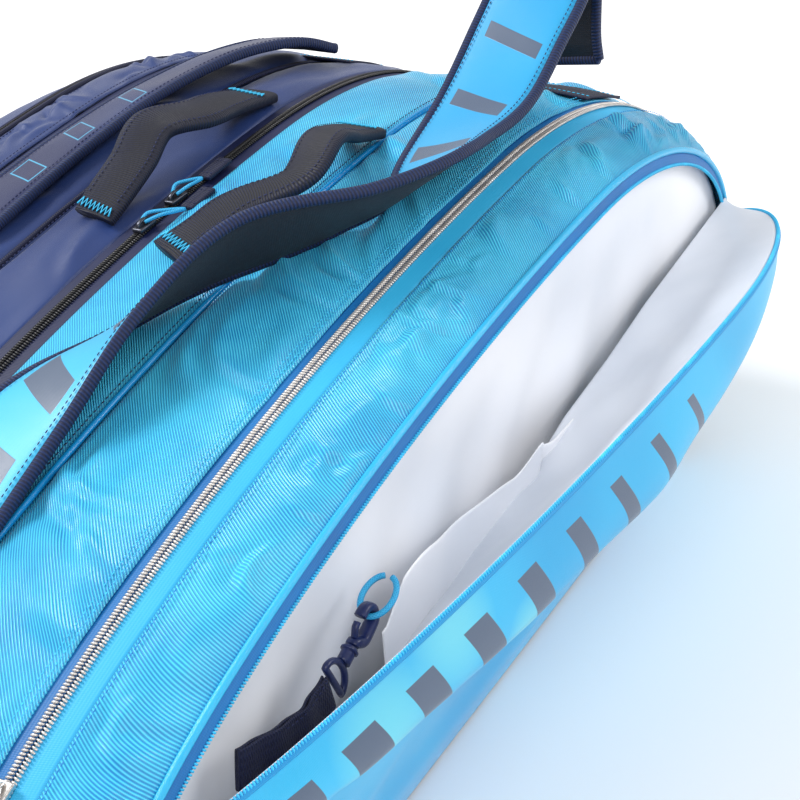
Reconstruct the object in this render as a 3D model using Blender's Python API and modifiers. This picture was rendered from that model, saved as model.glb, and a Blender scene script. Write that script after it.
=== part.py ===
"""Twelve-racket tournament bag, modelled as separate sewn and moulded pieces.

Frame: metres, +Z up. The origin is on the floor under the middle zip, +X runs
to the far (head) end and -Y is the side whose accessory pocket hangs open.
"""
import math

import bpy
import bmesh
from mathutils import Matrix, Vector

# ---------------------------------------------------------------- dimensions
HALF_LENGTH = 0.390        # half of the bag's length at the middle zip
CREST_X = 0.154            # where the top line is highest
CREST_Z = 0.300            # height of the top line
SIDE_Z = 0.176             # height of the two end points of the outline
NEAR_POWER = 1.66          # bulge of the long slope to the handle end
FAR_POWER = 2.04           # bulge of the short slope to the head end
BASE_NEAR_X = -0.300       # ends of the flat base
BASE_FAR_X = 0.290
BASE_T = 0.006             # base board thickness
BASE_JOIN = 0.0124         # side distance of the line where the base folds
SKIN = 0.003               # fabric wall thickness in this model
EDGE_START = 0.180         # side distance where the outline starts to shrink
EDGE_DROP = 0.006
EDGE_SHRINK = 0.015

ZIP_RIGHT = 0.166          # side distances of the seams and zips
ZIP_LEFT = 0.128
SEAM = 0.081
RIM_RIGHT = 0.222
RIM_LEFT = 0.184
FOOT_RIGHT = 0.190
FOOT_LEFT = 0.160
TAPE = 0.012               # half width of a zip's tape
SLIT = 0.0006              # gap between the two halves of a closed zip

POCKET_Z = 0.190           # height of the pocket zips' two ends
POCKET_DEPTH = 0.050       # how far a pocket flap bulges
FLAP_OPEN = math.radians(64.8)
PIPING_R = 0.0022

HANDLE_WIDTH = 0.030
HANDLE_T = 0.008
STRAP_WIDTH = 0.066
STRAP_T = 0.006
WEBBING_WIDTH = 0.025
WEBBING_T = 0.0018
CORD_R = 0.0011
GAP = 0.0004

# ------------------------------------------------------------------ scene
for old in list(bpy.data.objects):
    bpy.data.objects.remove(old, do_unlink=True)


def collection(name):
    """Return a new collection linked to the scene."""
    made = bpy.data.collections.new(name)
    bpy.context.scene.collection.children.link(made)
    return made


BAG = collection("racket_tournament_bag")


def finish(name, colour, roughness, metallic=0.0):
    """Make a Principled material."""
    mat = bpy.data.materials.new(name)
    mat.use_nodes = True
    bsdf = mat.node_tree.nodes["Principled BSDF"]
    bsdf.inputs["Base Color"].default_value = (*colour, 1.0)
    bsdf.inputs["Roughness"].default_value = roughness
    bsdf.inputs["Metallic"].default_value = metallic
    return mat


CYAN = ((0.035, 0.37, 0.56), 0.45)
TAPE_BLUE = ((0.02, 0.30, 0.52), 0.55)
NAVY = ((0.010, 0.028, 0.085), 0.55)
SKY = ((0.05, 0.47, 0.72), 0.40)
WHITE = ((0.82, 0.83, 0.87), 0.50)
CHARCOAL = ((0.03, 0.03, 0.035), 0.75)
SILVER = ((0.62, 0.60, 0.58), 0.30, 0.8)
BLACK = ((0.015, 0.015, 0.018), 0.45)
GUNMETAL = ((0.12, 0.12, 0.13), 0.35, 0.9)


def place(obj, look):
    """Link an object into the bag's collection and give it its own material."""
    BAG.objects.link(obj)
    obj.data.materials.append(finish(obj.name, *look))
    return obj


def with_origin(obj, origin):
    """Move an object's origin to a point without moving its surface."""
    obj.data.transform(Matrix.Translation(-Vector(origin)))
    obj.location = origin
    return obj


# ------------------------------------------------------------ the outline
def shrink(y):
    """How far the outline has drawn in at side distance y: (x, z)."""
    d = (abs(y) / EDGE_START) ** 6
    return EDGE_SHRINK * d, EDGE_DROP * d


def arc(power, angle):
    """Quarter superellipse: (cosine-like, sine-like)."""
    c, s = max(math.cos(angle), 0.0), max(math.sin(angle), 0.0)
    return c ** (2 / power), s ** (2 / power)


def outline(y, steps=(6, 14, 9, 6)):
    """The bag's outline at side distance y, from the near end of the flat
    base, up the handle end, over the top and down the head end."""
    dx, dz = shrink(y)
    near_x, far_x = -(HALF_LENGTH - dx), HALF_LENGTH - dx
    rise = CREST_Z - SIDE_Z - dz
    points = []
    for i in range(steps[0]):
        c, s = arc(2.2, math.pi / 2 * i / steps[0])
        points.append((BASE_NEAR_X + (near_x - BASE_NEAR_X) * s, SIDE_Z * (1 - c)))
    for i in range(steps[1]):
        c, s = arc(NEAR_POWER, math.pi / 2 * i / steps[1])
        points.append((CREST_X + (near_x - CREST_X) * c, SIDE_Z + rise * s))
    for i in range(steps[2]):
        c, s = arc(FAR_POWER, math.pi / 2 * (1 - i / steps[2]))
        points.append((CREST_X + (far_x - CREST_X) * c, SIDE_Z + rise * s))
    for i in range(steps[3] + 1):
        c, s = arc(2.2, math.pi / 2 * (1 - i / steps[3]))
        points.append((BASE_FAR_X + (far_x - BASE_FAR_X) * s, SIDE_Z * (1 - c)))
    return points


def top_z(x, y):
    """Height of the top surface over (x, y)."""
    dx, dz = shrink(y)
    far = x > CREST_X
    length = (HALF_LENGTH - CREST_X if far else HALF_LENGTH + CREST_X) - dx
    power = FAR_POWER if far else NEAR_POWER
    t = min(abs(x - CREST_X) / length, 1.0)
    return SIDE_Z + (CREST_Z - SIDE_Z - dz) * (1 - t ** power) ** (1 / power)


def end_x(z, y, far):
    """Where the outline at side distance y stands at height z."""
    dx, dz = shrink(y)
    end = HALF_LENGTH - dx
    if z >= SIDE_Z:
        power = FAR_POWER if far else NEAR_POWER
        t = min((z - SIDE_Z) / (CREST_Z - SIDE_Z - dz), 1.0)
        length = end - CREST_X if far else end + CREST_X
        run = length * (1 - t ** power) ** (1 / power)
        return CREST_X + (run if far else -run)
    t = (1 - z / SIDE_Z)
    run = (1 - t ** 2.2) ** (1 / 2.2)
    base = BASE_FAR_X if far else BASE_NEAR_X
    return base + ((end if far else -end) - base) * run


def rim_y(z, side):
    """Side distance (signed) of the outer edge of a side gusset at height z."""
    foot, rim = (FOOT_RIGHT, RIM_RIGHT) if side < 0 else (FOOT_LEFT, RIM_LEFT)
    t = min(max(z / (0.75 * POCKET_Z), 0.0), 1.0)
    return side * (foot + (rim - foot) * t * t * (3 - 2 * t))


# ------------------------------------------------------------- builders
def shell(name, rows, look, thick=SKIN, offset=-1.0, origin=None, flip=False):
    """A fabric wall: an open surface through rows of points, thickened."""
    bm = bmesh.new()
    grid = [[bm.verts.new(p) for p in row] for row in rows]
    for a, b in zip(grid, grid[1:]):
        for k in range(len(a) - 1):
            quad = (a[k], a[k + 1], b[k + 1], b[k])
            bm.faces.new(reversed(quad) if flip else quad)
    mesh = bpy.data.meshes.new(name)
    bm.to_mesh(mesh)
    bm.free()
    obj = bpy.data.objects.new(name, mesh)
    place(obj, look)
    mesh.shade_smooth()
    solid = obj.modifiers.new("wall", "SOLIDIFY")
    solid.thickness = thick
    solid.offset = offset
    solid.use_rim = True
    return with_origin(obj, origin) if origin else obj


def tube(name, points, radius, look, origin=None, closed=False, sides=2):
    """A round piece along a path."""
    curve = bpy.data.curves.new(name, "CURVE")
    curve.dimensions = "3D"
    curve.bevel_depth = radius
    curve.bevel_resolution = sides
    curve.use_fill_caps = not closed
    spline = curve.splines.new("POLY")
    spline.points.add(len(points) - 1)
    shift = Vector(origin) if origin else Vector((0, 0, 0))
    for node, p in zip(spline.points, points):
        node.co = (*(Vector(p) - shift), 1.0)
    spline.use_cyclic_u = closed
    obj = bpy.data.objects.new(name, curve)
    obj.location = shift
    return place(obj, look)


def block(name, low, high, look, bevel=0.0, origin=None, turn=None):
    """A box between two corners, with rounded edges and an optional turn."""
    low, high = Vector(low), Vector(high)
    bm = bmesh.new()
    bmesh.ops.create_cube(bm, size=1.0)
    size = high - low
    bmesh.ops.scale(bm, vec=size, verts=bm.verts)
    if turn:
        bmesh.ops.rotate(bm, verts=bm.verts, matrix=turn)
    bmesh.ops.translate(bm, vec=(low + high) / 2, verts=bm.verts)
    mesh = bpy.data.meshes.new(name)
    bm.to_mesh(mesh)
    bm.free()
    obj = bpy.data.objects.new(name, mesh)
    place(obj, look)
    if bevel:
        mod = obj.modifiers.new("edges", "BEVEL")
        mod.width = bevel
        mod.segments = 2
    return with_origin(obj, origin) if origin else obj


def spline_through(points, count):
    """Catmull-Rom points through a route."""
    pts = [Vector(p) for p in points]
    pts = [2 * pts[0] - pts[1]] + pts + [2 * pts[-1] - pts[-2]]
    spans = len(pts) - 3
    out = []
    for i in range(count):
        u = i / (count - 1) * spans
        k = min(int(u), spans - 1)
        t = u - k
        a, b, c, d = pts[k:k + 4]
        out.append(0.5 * ((2 * b) + (c - a) * t + (2 * a - 5 * b + 4 * c - d) * t * t
                          + (3 * b - a - 3 * c + d) * t ** 3))
    return out


def band(name, centre, lean, width, thick, look, count=24, origin=None, across=3):
    """A flat strap along a route. lean is its width direction at each point
    of the route, as degrees turned from +Y towards +Z about the route."""
    path = spline_through(centre, count) if count > len(centre) else [Vector(p) for p in centre]
    count = len(path)
    tilt = [v.x for v in spline_through([(a, 0, 0) for a in lean], count)]
    left = []
    for k, p in enumerate(path):
        ahead = (path[min(k + 1, count - 1)] - path[max(k - 1, 0)]).normalized()
        side = Vector((0, 1, 0)) - ahead * ahead.y
        side.normalize()
        side.rotate(Matrix.Rotation(math.radians(tilt[k]), 3, ahead))
        w = width[k * (len(width) - 1) // (count - 1)] if isinstance(width, tuple) else width
        left.append([p + side * w * (j / (across - 1) - 0.5) for j in range(across)])
    return shell(name, left, look, thick, 0.0, origin)


def ring_strip(name, y_from, y_to, look, thick=SKIN, rows=3, steps=(6, 14, 9, 6)):
    """A strip of the bag's side wall that runs from base to base."""
    lines = []
    for j in range(rows):
        line = []
        for k in range(sum(steps) + 1):
            x, z = outline(0, steps)[k]
            ya = y_from(z) if callable(y_from) else y_from
            yb = y_to(z) if callable(y_to) else y_to
            y = ya + (yb - ya) * j / (rows - 1)
            x, z = outline(y, steps)[k]
            line.append((x, y, z))
        lines.append(line)
    return shell(name, lines, look, thick, -1.0, flip=y_to_lower(y_from, y_to))


def y_to_lower(y_from, y_to):
    """True where a strip's rows run towards -Y."""
    a = y_from(0.1) if callable(y_from) else y_from
    b = y_to(0.1) if callable(y_to) else y_to
    return b < a


def upright(name, depth_at, low, high, look, thick, side, columns=14, rows=8, gap=0.007):
    """An upright panel that fills the outline: depth_at(x, z) gives its y."""
    lines = []
    for j in range(rows):
        z = low + (high - low) * math.sin(math.pi / 2 * j / (rows - 1))
        y0 = depth_at(HALF_LENGTH, z)
        under = min(z + 0.0065, CREST_Z - shrink(y0)[1]) if z > SIDE_Z else max(z - 0.0065, 0.0)
        a, b = end_x(under, y0, False) + gap, end_x(under, y0, True) - gap
        line = []
        for k in range(columns):
            x = a + (b - a) * k / (columns - 1)
            line.append((x, depth_at(x, z), z))
        lines.append(line)
    return shell(name, lines, look, thick, 0.0, flip=side > 0)


# ------------------------------------------------------- main compartments
def half_bag(tag, side, zip_y, panel_look, zip_look):
    """The pieces between the middle zip and one compartment zip."""
    ends = (BASE_NEAR_X + 0.0015, BASE_FAR_X - 0.0015)
    start = BASE_JOIN - SLIT / 2 if side < 0 else BASE_JOIN + SLIT / 2
    lo, hi = sorted((start, side * (zip_y - SLIT)))
    block(f"base_inner_{tag}", (ends[0], lo, 0), (ends[1], hi, BASE_T), CHARCOAL)
    inner, outer = side * (TAPE + GAP), side * (zip_y - TAPE - GAP)
    ring_strip(f"top_panel_{tag}", inner, outer, panel_look, rows=4)
    ring_strip(f"middle_zip_{tag}", side * SLIT, side * TAPE, NAVY, 0.002, 2)
    ring_strip(f"side_zip_inner_{tag}", side * (zip_y - TAPE), side * (zip_y - SLIT),
               zip_look, 0.002, 2)
    seam = side * (SEAM if side < 0 else SEAM * 0.8)
    upright(f"divider_{tag}", lambda x, z: seam, BASE_T + 0.001, CREST_Z - 0.010,
            CHARCOAL, 0.002, side)


def outer_wall(tag, side, zip_y, rim, foot, gusset_look):
    """The pieces between one compartment zip and its accessory pocket."""
    ends = (BASE_NEAR_X + 0.0015, BASE_FAR_X - 0.0015)
    lo, hi = sorted((side * (zip_y + SLIT), side * (foot - 0.001)))
    block(f"base_outer_{tag}", (ends[0], lo, 0), (ends[1], hi, BASE_T), CHARCOAL)
    ring_strip(f"side_zip_outer_{tag}", side * (zip_y + SLIT), side * (zip_y + TAPE),
               TAPE_BLUE, 0.002, 2)
    ring_strip(f"outer_gusset_{tag}", side * (zip_y + TAPE + GAP),
               lambda z: rim_y(z, side), gusset_look, rows=4)
    dish = 0.010
    crest = CREST_Z - shrink(rim)[1] - 0.010

    def lining(x, z):
        """The slack inner wall of the pocket."""
        u = max(0.0, 1 - ((x + 0.02) / 0.36) ** 2) * max(0.0, 1 - ((z - 0.12) / 0.14) ** 2)
        return rim_y(z, side) - side * (0.004 + dish * u)

    upright(f"inner_wall_{tag}", lining, BASE_T + 0.001, crest, WHITE, 0.002, side)


half_bag("right", -1, ZIP_RIGHT, CYAN, TAPE_BLUE)
half_bag("left", 1, ZIP_LEFT, NAVY, TAPE_BLUE)
outer_wall("right", -1, ZIP_RIGHT, RIM_RIGHT, FOOT_RIGHT, CYAN)
outer_wall("left", 1, ZIP_LEFT, RIM_LEFT, FOOT_LEFT, NAVY)


# ----------------------------------------------------------- side pockets
def rim_points(side, count=30):
    """The upper edge of a pocket opening, from its near to its far zip end."""
    rim = side * (RIM_RIGHT if side < 0 else RIM_LEFT)
    dx, dz = shrink(rim)
    rise = CREST_Z - SIDE_Z - dz
    start = math.asin(((POCKET_Z - SIDE_Z) / rise) ** (NEAR_POWER / 2))
    stop = math.asin(((POCKET_Z - SIDE_Z) / rise) ** (FAR_POWER / 2))
    near, far = -(HALF_LENGTH - dx), HALF_LENGTH - dx
    points = []
    for i in range(count):
        u = i / (count - 1) * 1.0
        if u < 0.6:
            c, s = arc(NEAR_POWER, start + (math.pi / 2 - start) * u / 0.6)
            points.append(Vector((CREST_X + (near - CREST_X) * c, rim, SIDE_Z + rise * s)))
        else:
            v = (u - 0.6) / 0.4
            c, s = arc(FAR_POWER, math.pi / 2 - (math.pi / 2 - stop) * v)
            points.append(Vector((CREST_X + (far - CREST_X) * c, rim, SIDE_Z + rise * s)))
    return points


def swing(point, side, angle):
    """Turn a point outwards about a pocket flap's hinge line."""
    hinge = Vector((0, side * (RIM_RIGHT if side < 0 else RIM_LEFT), POCKET_Z))
    turn = Matrix.Rotation(-side * angle, 3, "X")
    return turn @ (Vector(point) - hinge) + hinge


def pocket(tag, side, angle, flap_look):
    """One accessory pocket: fixed zip edge, lower panel, flap and its edge."""
    rim = side * (RIM_RIGHT if side < 0 else RIM_LEFT)
    hinge = (0.0, rim, POCKET_Z)
    edge = rim_points(side)
    crest = max(p.z for p in edge) - POCKET_Z
    near_row, far_row = side * (PIPING_R + GAP), side * (3 * PIPING_R + 2 * GAP)
    fixed = [p + Vector((0, near_row, 0)) for p in edge]
    tube(f"pocket_zip_fixed_{tag}", fixed[1:-1], PIPING_R, TAPE_BLUE)
    moved = [swing(p + Vector((0, far_row, 0)), side, angle) for p in edge]
    tube(f"pocket_zip_moving_{tag}", moved[2:-2], PIPING_R, SKY, origin=hinge)
    inner = []
    for before, p, after in zip(edge[1:], edge[2:], edge[3:]):
        along = (after - before).normalized()
        inner.append(p - Vector((-along.z, 0, along.x)) * (PIPING_R + 0.0015))
    rows = []
    for j in range(8):
        v = 1 - j / 7
        bulge = min(1.0, 1.25 * math.sin(math.pi * min(1 - v, 0.5) ** 0.62)) if v < 1 else 0.0
        row = []
        for p in inner[:-1]:
            h = (p.z - POCKET_Z)
            swell = POCKET_DEPTH * math.sqrt(h / crest) * bulge * (0.8 + 0.2 * v)
            base = Vector((p.x, rim + far_row + side * swell,
                           POCKET_Z + h * v))
            row.append(swing(base, side, angle))
        rows.append(row)
    shell(f"pocket_flap_{tag}", rows, flap_look, 0.002, 0.0, origin=hinge, flip=side > 0)
    top = POCKET_Z - POCKET_DEPTH - 0.008
    lines = []
    for j in range(7):
        t = j / 6
        z = 0.0 + top * t
        out = side * (0.018 * math.sin(math.pi * t) + 0.009 * t)
        y = rim_y(z, side) + out + side * 0.0045
        a, b = end_x(z, rim, False) + 0.012, end_x(z, rim, True) - 0.012
        lines.append([(a + (b - a) * k / 13, y - out * (abs(k - 6.5) / 6.5) ** 4, z)
                      for k in range(14)])
    shell(f"pocket_lower_{tag}", lines, flap_look, SKIN, -1.0, flip=side > 0)


pocket("right", -1, FLAP_OPEN, SKY)
pocket("left", 1, 0.0, NAVY)


# --------------------------------------------------------------- handles
def handle(tag, start, stop, shape, hinge_side):
    """A grab handle between two sewn ends. Each row of shape is a share of the
    way, a sideways offset, a height and a lean in degrees. The handle turns
    about the line through its sewn ends, at their edge on hinge_side."""
    a, b = [Vector((x, y, top_z(x, y) + HANDLE_T / 2 + 0.003)) for x, y in (start, stop)]
    pts = [a.lerp(b, t) + Vector((0, aside, rise)) for t, aside, rise, lean in shape]
    edge = Vector((a.y - b.y, b.x - a.x, 0)).normalized() * hinge_side * (HANDLE_WIDTH / 2 + 0.001)
    return band(f"handle_{tag}", pts, [row[3] for row in shape], HANDLE_WIDTH, HANDLE_T, NAVY, 25,
                origin=(a + b) / 2 + edge - Vector((0, 0, HANDLE_T / 2)))


handle("right", (-0.022, -0.038), (0.138, -0.071),
       ((0, 0, 0, 0), (0.13, -0.006, 0.0065, -10), (0.24, -0.017, 0.0145, -11),
        (0.40, -0.036, 0.0205, -14), (0.61, -0.026, 0.027, -8), (0.82, -0.010, 0.013, 3), (1, 0, 0, 0)), 1)
handle("left", (0.000, 0.032), (0.168, 0.027),
       ((0, 0, 0, 0), (0.09, -0.002, 0.008, 8), (0.24, -0.001, 0.0165, 10),
        (0.41, 0.004, 0.025, 14), (0.59, -0.006, 0.020, 16), (0.76, -0.002, 0.0125, 12), (1, 0, 0, 0)), -1)

# -------------------------------------------------------- shoulder straps
RIGHT_ROUTE = ((-0.335, -0.055, 0.006), (-0.25, -0.052, 0.0055), (-0.17, -0.0535, 0.0143),
               (-0.105, -0.073, 0.0245), (-0.045, -0.0985, 0.0330), (0.015, -0.140, 0.0300),
               (0.062, -0.156, 0.0270), (0.112, -0.147, 0.0220), (0.162, -0.145, 0.0295),
               (0.208, -0.144, 0.0545), (0.240, -0.144, 0.078), (0.256, -0.141, 0.096),
               (0.274, -0.136, 0.1005), (0.284, -0.132, 0.085), (0.278, -0.132, 0.045),
               (0.276, -0.134, 0.025))
RIGHT_LEAN = (0, 0, -7, -41, -57, -42, -35, -18, -4, 1, 4, 3, 2, 0, 0, 0)
LEFT_ROUTE = ((-0.335, 0.080, 0.006), (-0.25, 0.090, 0.0055), (-0.15, 0.098, 0.006),
              (-0.05, 0.104, 0.007), (0.05, 0.104, 0.009), (0.13, 0.098, 0.012),
              (0.20, 0.084, 0.016), (0.25, 0.070, 0.018), (0.285, 0.060, 0.014))
LEFT_LEAN = (0, 0, -4, -6, -10, -14, -14, -8, 0)


def above(route):
    """Turn heights above the bag's top into heights above the floor."""
    return [(x, y, top_z(min(x, 0.30), y) + h) for x, y, h in route]


right_path = above(RIGHT_ROUTE)
left_path = above(LEFT_ROUTE)
band("strap_right", right_path, RIGHT_LEAN, STRAP_WIDTH, STRAP_T, CYAN, 48,
     origin=(0.0, -0.165, 0.285))
band("strap_left", left_path, LEFT_LEAN, STRAP_WIDTH * 0.72, STRAP_T, NAVY, 28,
     origin=(0.0, 0.125, 0.285))


def strap_hardware(tag, start, far, far_y):
    """Anchor webbing, ladder-lock buckle and head-end patch of one strap."""
    x, y, z = start
    slope = math.atan2(top_z(x + 0.01, y) - top_z(x - 0.01, y), 0.02)
    turn = Matrix.Rotation(-slope, 3, "Y")
    centre = Vector((x - 0.0205, y, z - 0.0205 * math.tan(slope)))
    block(f"ladder_lock_{tag}", centre - Vector((0.018, 0.019, 0.0025)),
          centre + Vector((0.018, 0.019, 0.0025)), BLACK, 0.0012, turn=turn)
    line = outline(y, (24, 56, 4, 4))
    route = []
    for (xa, za), (xb, zb) in zip(line, line[2:]):
        out = Vector((za - zb, 0, xb - xa)).normalized()
        middle = Vector(((xa + xb) / 2, y, (za + zb) / 2)) + out * 0.0019
        if middle.z > 0.05 and middle.x < -0.3765:
            route.append(middle)
    route = route[::2]
    band(f"anchor_webbing_{tag}", route, (0,) * len(route), WEBBING_WIDTH, WEBBING_T, NAVY, 2,
         across=2)
    patch = []
    for i in range(5):
        px = far - 0.012 + 0.052 * i / 4
        patch.append((px, far_y, top_z(px, far_y) + 0.0046))
    band(f"anchor_patch_{tag}", patch, (0,) * 5, 0.052, 0.003, NAVY, 8, across=4)


strap_hardware("right", right_path[0], 0.276, -0.134)
strap_hardware("left", left_path[0], 0.300, 0.060)


# ---------------------------------------------------------------- sliders
def slider(name, x, y, look, lift=0.0026):
    """A zip slider: a wedge body with a bridge for its puller."""
    slope = math.atan2(top_z(x + 0.004, y) - top_z(x - 0.004, y), 0.008)
    z = top_z(x, y) + lift
    bm = bmesh.new()
    bmesh.ops.create_cube(bm, size=1.0)
    bmesh.ops.scale(bm, vec=(0.014, 0.010, 0.003), verts=bm.verts)
    for v in bm.verts:
        if v.co.x < 0:
            v.co.y *= 0.72
    bmesh.ops.rotate(bm, verts=bm.verts, matrix=Matrix.Rotation(-slope, 3, "Y"))
    mesh = bpy.data.meshes.new(name)
    bm.to_mesh(mesh)
    bm.free()
    obj = bpy.data.objects.new(name, mesh)
    obj.location = (x, y, z)
    place(obj, look)
    mod = obj.modifiers.new("edges", "BEVEL")
    mod.width = 0.0008
    mod.segments = 2
    return obj


slider("middle_slider_near", 0.005, 0.0, GUNMETAL)
slider("middle_slider_far", 0.037, 0.0, GUNMETAL)
slider("side_slider_right", -0.340, -ZIP_RIGHT, SILVER)
slider("side_slider_left", -0.340, ZIP_LEFT, SILVER)


def pull(tag, x, y, reach, swerve):
    """A puller: a loop of thin cord through the slider and a ribbon tab."""
    route = [(x + reach * u, y + swerve * u + spread, top_z(x + reach * u, y) + height)
             for u, spread, height in ((0, -0.0016, 0.0062), (0.3, -0.0045, 0.0085),
                                       (0.7, -0.003, 0.0070), (1.0, 0.0, 0.0055),
                                       (0.7, 0.003, 0.0070), (0.3, 0.0045, 0.0085),
                                       (0, 0.0016, 0.0062))]
    tube(f"middle_cord_{tag}", spline_through(route, 22), CORD_R, CYAN)
    tab_x = x + reach + 0.0140
    c = Vector((tab_x, y + swerve, top_z(tab_x, y) + 0.0045))
    block(f"middle_tab_{tag}", c - Vector((0.012, 0.005, 0.0016)), c + Vector((0.012, 0.005, 0.0016)),
          NAVY, 0.0008)


pull("near", 0.005, 0.0, 0.020, -0.0155)
pull("far", 0.037, 0.0, 0.022, -0.004)


def edge_slider(name, side):
    """The slider parked at the head end of a pocket zip."""
    rim = side * (RIM_RIGHT if side < 0 else RIM_LEFT)
    x = end_x(POCKET_Z, rim, True)
    low, high = sorted((rim + side * GAP * 2, rim + side * 0.0095))
    return block(name, (x - 0.009, low, POCKET_Z - 0.015), (x + 0.001, high, POCKET_Z - 0.003),
                 GUNMETAL, 0.0008)


edge_slider("pocket_slider_right", -1)
edge_slider("pocket_slider_left", 1)

# --------------------------------------------------------------- key hook
HOOK_Y = -RIM_RIGHT - 0.0125
HOOK_RING = Vector((-0.186, HOOK_Y, 0.182))
HOOK_DIR = Vector((0.93, 0.0, 0.37)).normalized()
hook_web = [(-0.262, -RIM_RIGHT - 0.0085, 0.186), (-0.240, HOOK_Y, 0.181),
            (-0.215, HOOK_Y - 0.001, 0.176), tuple(HOOK_RING - HOOK_DIR * 0.0075)]
band("hook_webbing", hook_web, (78, 80, 84, 88), 0.022, 0.0032, NAVY, 10, origin=hook_web[0],
     across=2)


def hook_point(along, across):
    """A point of the hook's plane, measured along and across its shank."""
    side = Vector((-HOOK_DIR.z, 0, HOOK_DIR.x))
    return HOOK_RING + HOOK_DIR * along + side * across


ring_path = [hook_point(-0.002, -0.0125), hook_point(-0.002, 0.0125)]
for i in range(9):
    a = math.pi / 2 - math.pi * i / 8
    ring_path.append(hook_point(-0.002 + 0.009 * math.cos(a), 0.0125 * math.sin(a)))
tube("hook_d_ring", ring_path[:-1], 0.0016, NAVY, origin=tuple(HOOK_RING), closed=True)
tube("hook_swivel_post", [hook_point(0.0095, 0), hook_point(0.0175, 0)], 0.0034, NAVY,
     origin=tuple(hook_point(0.0095, 0)), sides=3)
body_path = [hook_point(0.0185, 0.0), hook_point(0.0205, -0.0004), hook_point(0.0235, -0.0046),
             hook_point(0.0270, -0.0062)]
for i in range(1, 9):
    a = math.pi * i / 8
    body_path.append(hook_point(0.034 + 0.0062 * math.sin(a), -0.0062 * math.cos(a)))
body_path.append(hook_point(0.0315, 0.0062))
tube("hook_body", body_path, 0.0022, NAVY, origin=tuple(hook_point(0.0182, 0)), sides=3)
tube("hook_gate", [hook_point(0.0222, 0.0016), hook_point(0.0255, 0.0052), hook_point(0.0288, 0.0061)],
     0.0014, NAVY, origin=tuple(hook_point(0.0222, 0.0016)))
loop_path = []
for i in range(18):
    a = 2 * math.pi * ((i + 0.5) / 18 * 0.94 + 0.03)
    centre = hook_point(0.0355 + 0.012 * (1 - math.cos(a - math.pi)), 0.0)
    loop_path.append(centre + Vector((0, 0.0085 * math.sin(a), 0)))
tube("hook_cord_loop", loop_path, 0.0016, CYAN)

# --------------------------------------------------------- organiser pocket
folds = []
for j in range(5):
    v = j / 4
    z = 0.118 + 0.062 * v
    row = []
    for k in range(13):
        u = k / 12
        x = -0.115 + 0.215 * u
        wave = 0.0028 * math.sin(7.0 * u + 1.5 * v) * v
        row.append((x, rim_y(z, -1) - 0.0045 - wave - 0.004 * v, z + 0.008 * v * math.sin(math.pi * u)))
    folds.append(row)
shell("organiser_pocket", folds, WHITE, 0.0016, 0.0)
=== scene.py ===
import logging
import math
from dataclasses import dataclass, field
from enum import Enum
from typing import Callable, Optional, Sequence

import bmesh
import bpy
import numpy as np
from mathutils import Matrix, Vector


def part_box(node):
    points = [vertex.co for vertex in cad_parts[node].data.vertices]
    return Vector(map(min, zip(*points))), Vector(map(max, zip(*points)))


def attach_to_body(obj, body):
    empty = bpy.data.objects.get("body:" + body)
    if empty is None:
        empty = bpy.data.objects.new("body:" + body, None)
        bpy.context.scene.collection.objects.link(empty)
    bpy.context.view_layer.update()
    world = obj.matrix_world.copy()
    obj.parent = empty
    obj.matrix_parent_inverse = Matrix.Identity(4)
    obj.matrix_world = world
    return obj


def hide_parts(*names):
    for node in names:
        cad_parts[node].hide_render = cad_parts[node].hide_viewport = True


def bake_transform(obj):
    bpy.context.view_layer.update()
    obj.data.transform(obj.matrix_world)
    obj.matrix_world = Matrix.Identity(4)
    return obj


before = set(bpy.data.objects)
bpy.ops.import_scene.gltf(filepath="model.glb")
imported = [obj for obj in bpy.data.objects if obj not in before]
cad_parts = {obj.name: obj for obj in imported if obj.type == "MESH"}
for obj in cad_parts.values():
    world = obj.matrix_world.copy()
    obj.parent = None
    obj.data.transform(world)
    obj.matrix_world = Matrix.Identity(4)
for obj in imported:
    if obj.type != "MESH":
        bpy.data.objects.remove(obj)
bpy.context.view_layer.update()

LOG = logging.getLogger("racket_bag")
# Length, width and height of one stitch or coil turn, metres.
LONG_STITCH = (0.0026, 0.0008, 0.0006)
SHORT_STITCH = (0.0024, 0.0007, 0.0006)
POCKET_COIL = (0.0013, 0.0030, 0.0022)
STRAP_WIDTH = 0.066
NEAR_SLIDER_X, FAR_SLIDER_X, SIDE_SLIDER_X = 0.005, 0.037, -0.340
SLIDER_LIFT = 0.0035
Array = np.ndarray


# ------------------------------------------------------------------ colours
def linear(red: float, green: float, blue: float) -> tuple[float, float, float, float]:
    """Turn a screen colour, 0 to 255, into the linear colour that a shader takes."""
    def one(c: float) -> float:
        """One channel."""
        c /= 255.0
        return c / 12.92 if c <= 0.04045 else ((c + 0.055) / 1.055) ** 2.4
    return one(red), one(green), one(blue), 1.0


class Tone(Enum):
    """The bag's named colours."""
    # CYAN_LIT and CYAN_DARK are the lit and the shaded copy of the cyan cloth; the ribbed cloth mixes them
    # as painted sheen and painted shade. CYAN_DARK is also the dark blue of tapes, piping, cord and thread.
    CYAN_LIT = linear(82, 212, 242)
    CYAN_DARK = linear(4, 122, 192)
    CYAN_TAPE = linear(28, 150, 204)
    SKY = linear(52, 180, 226)
    SLATE = linear(66, 80, 104)
    NAVY = linear(26, 60, 122)
    NAVY_DEEP = linear(15, 28, 74)
    NAVY_WEB = linear(8, 13, 40)
    INK = linear(22, 24, 34)
    CHARCOAL = linear(38, 40, 46)
    WHITE = linear(250, 250, 253)
    GREY = linear(226, 231, 240)
    MIST = linear(188, 197, 210)
    SILVER = linear(205, 200, 196)
    BLACK = linear(14, 14, 17)
    GUNMETAL = linear(70, 72, 80)


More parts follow.
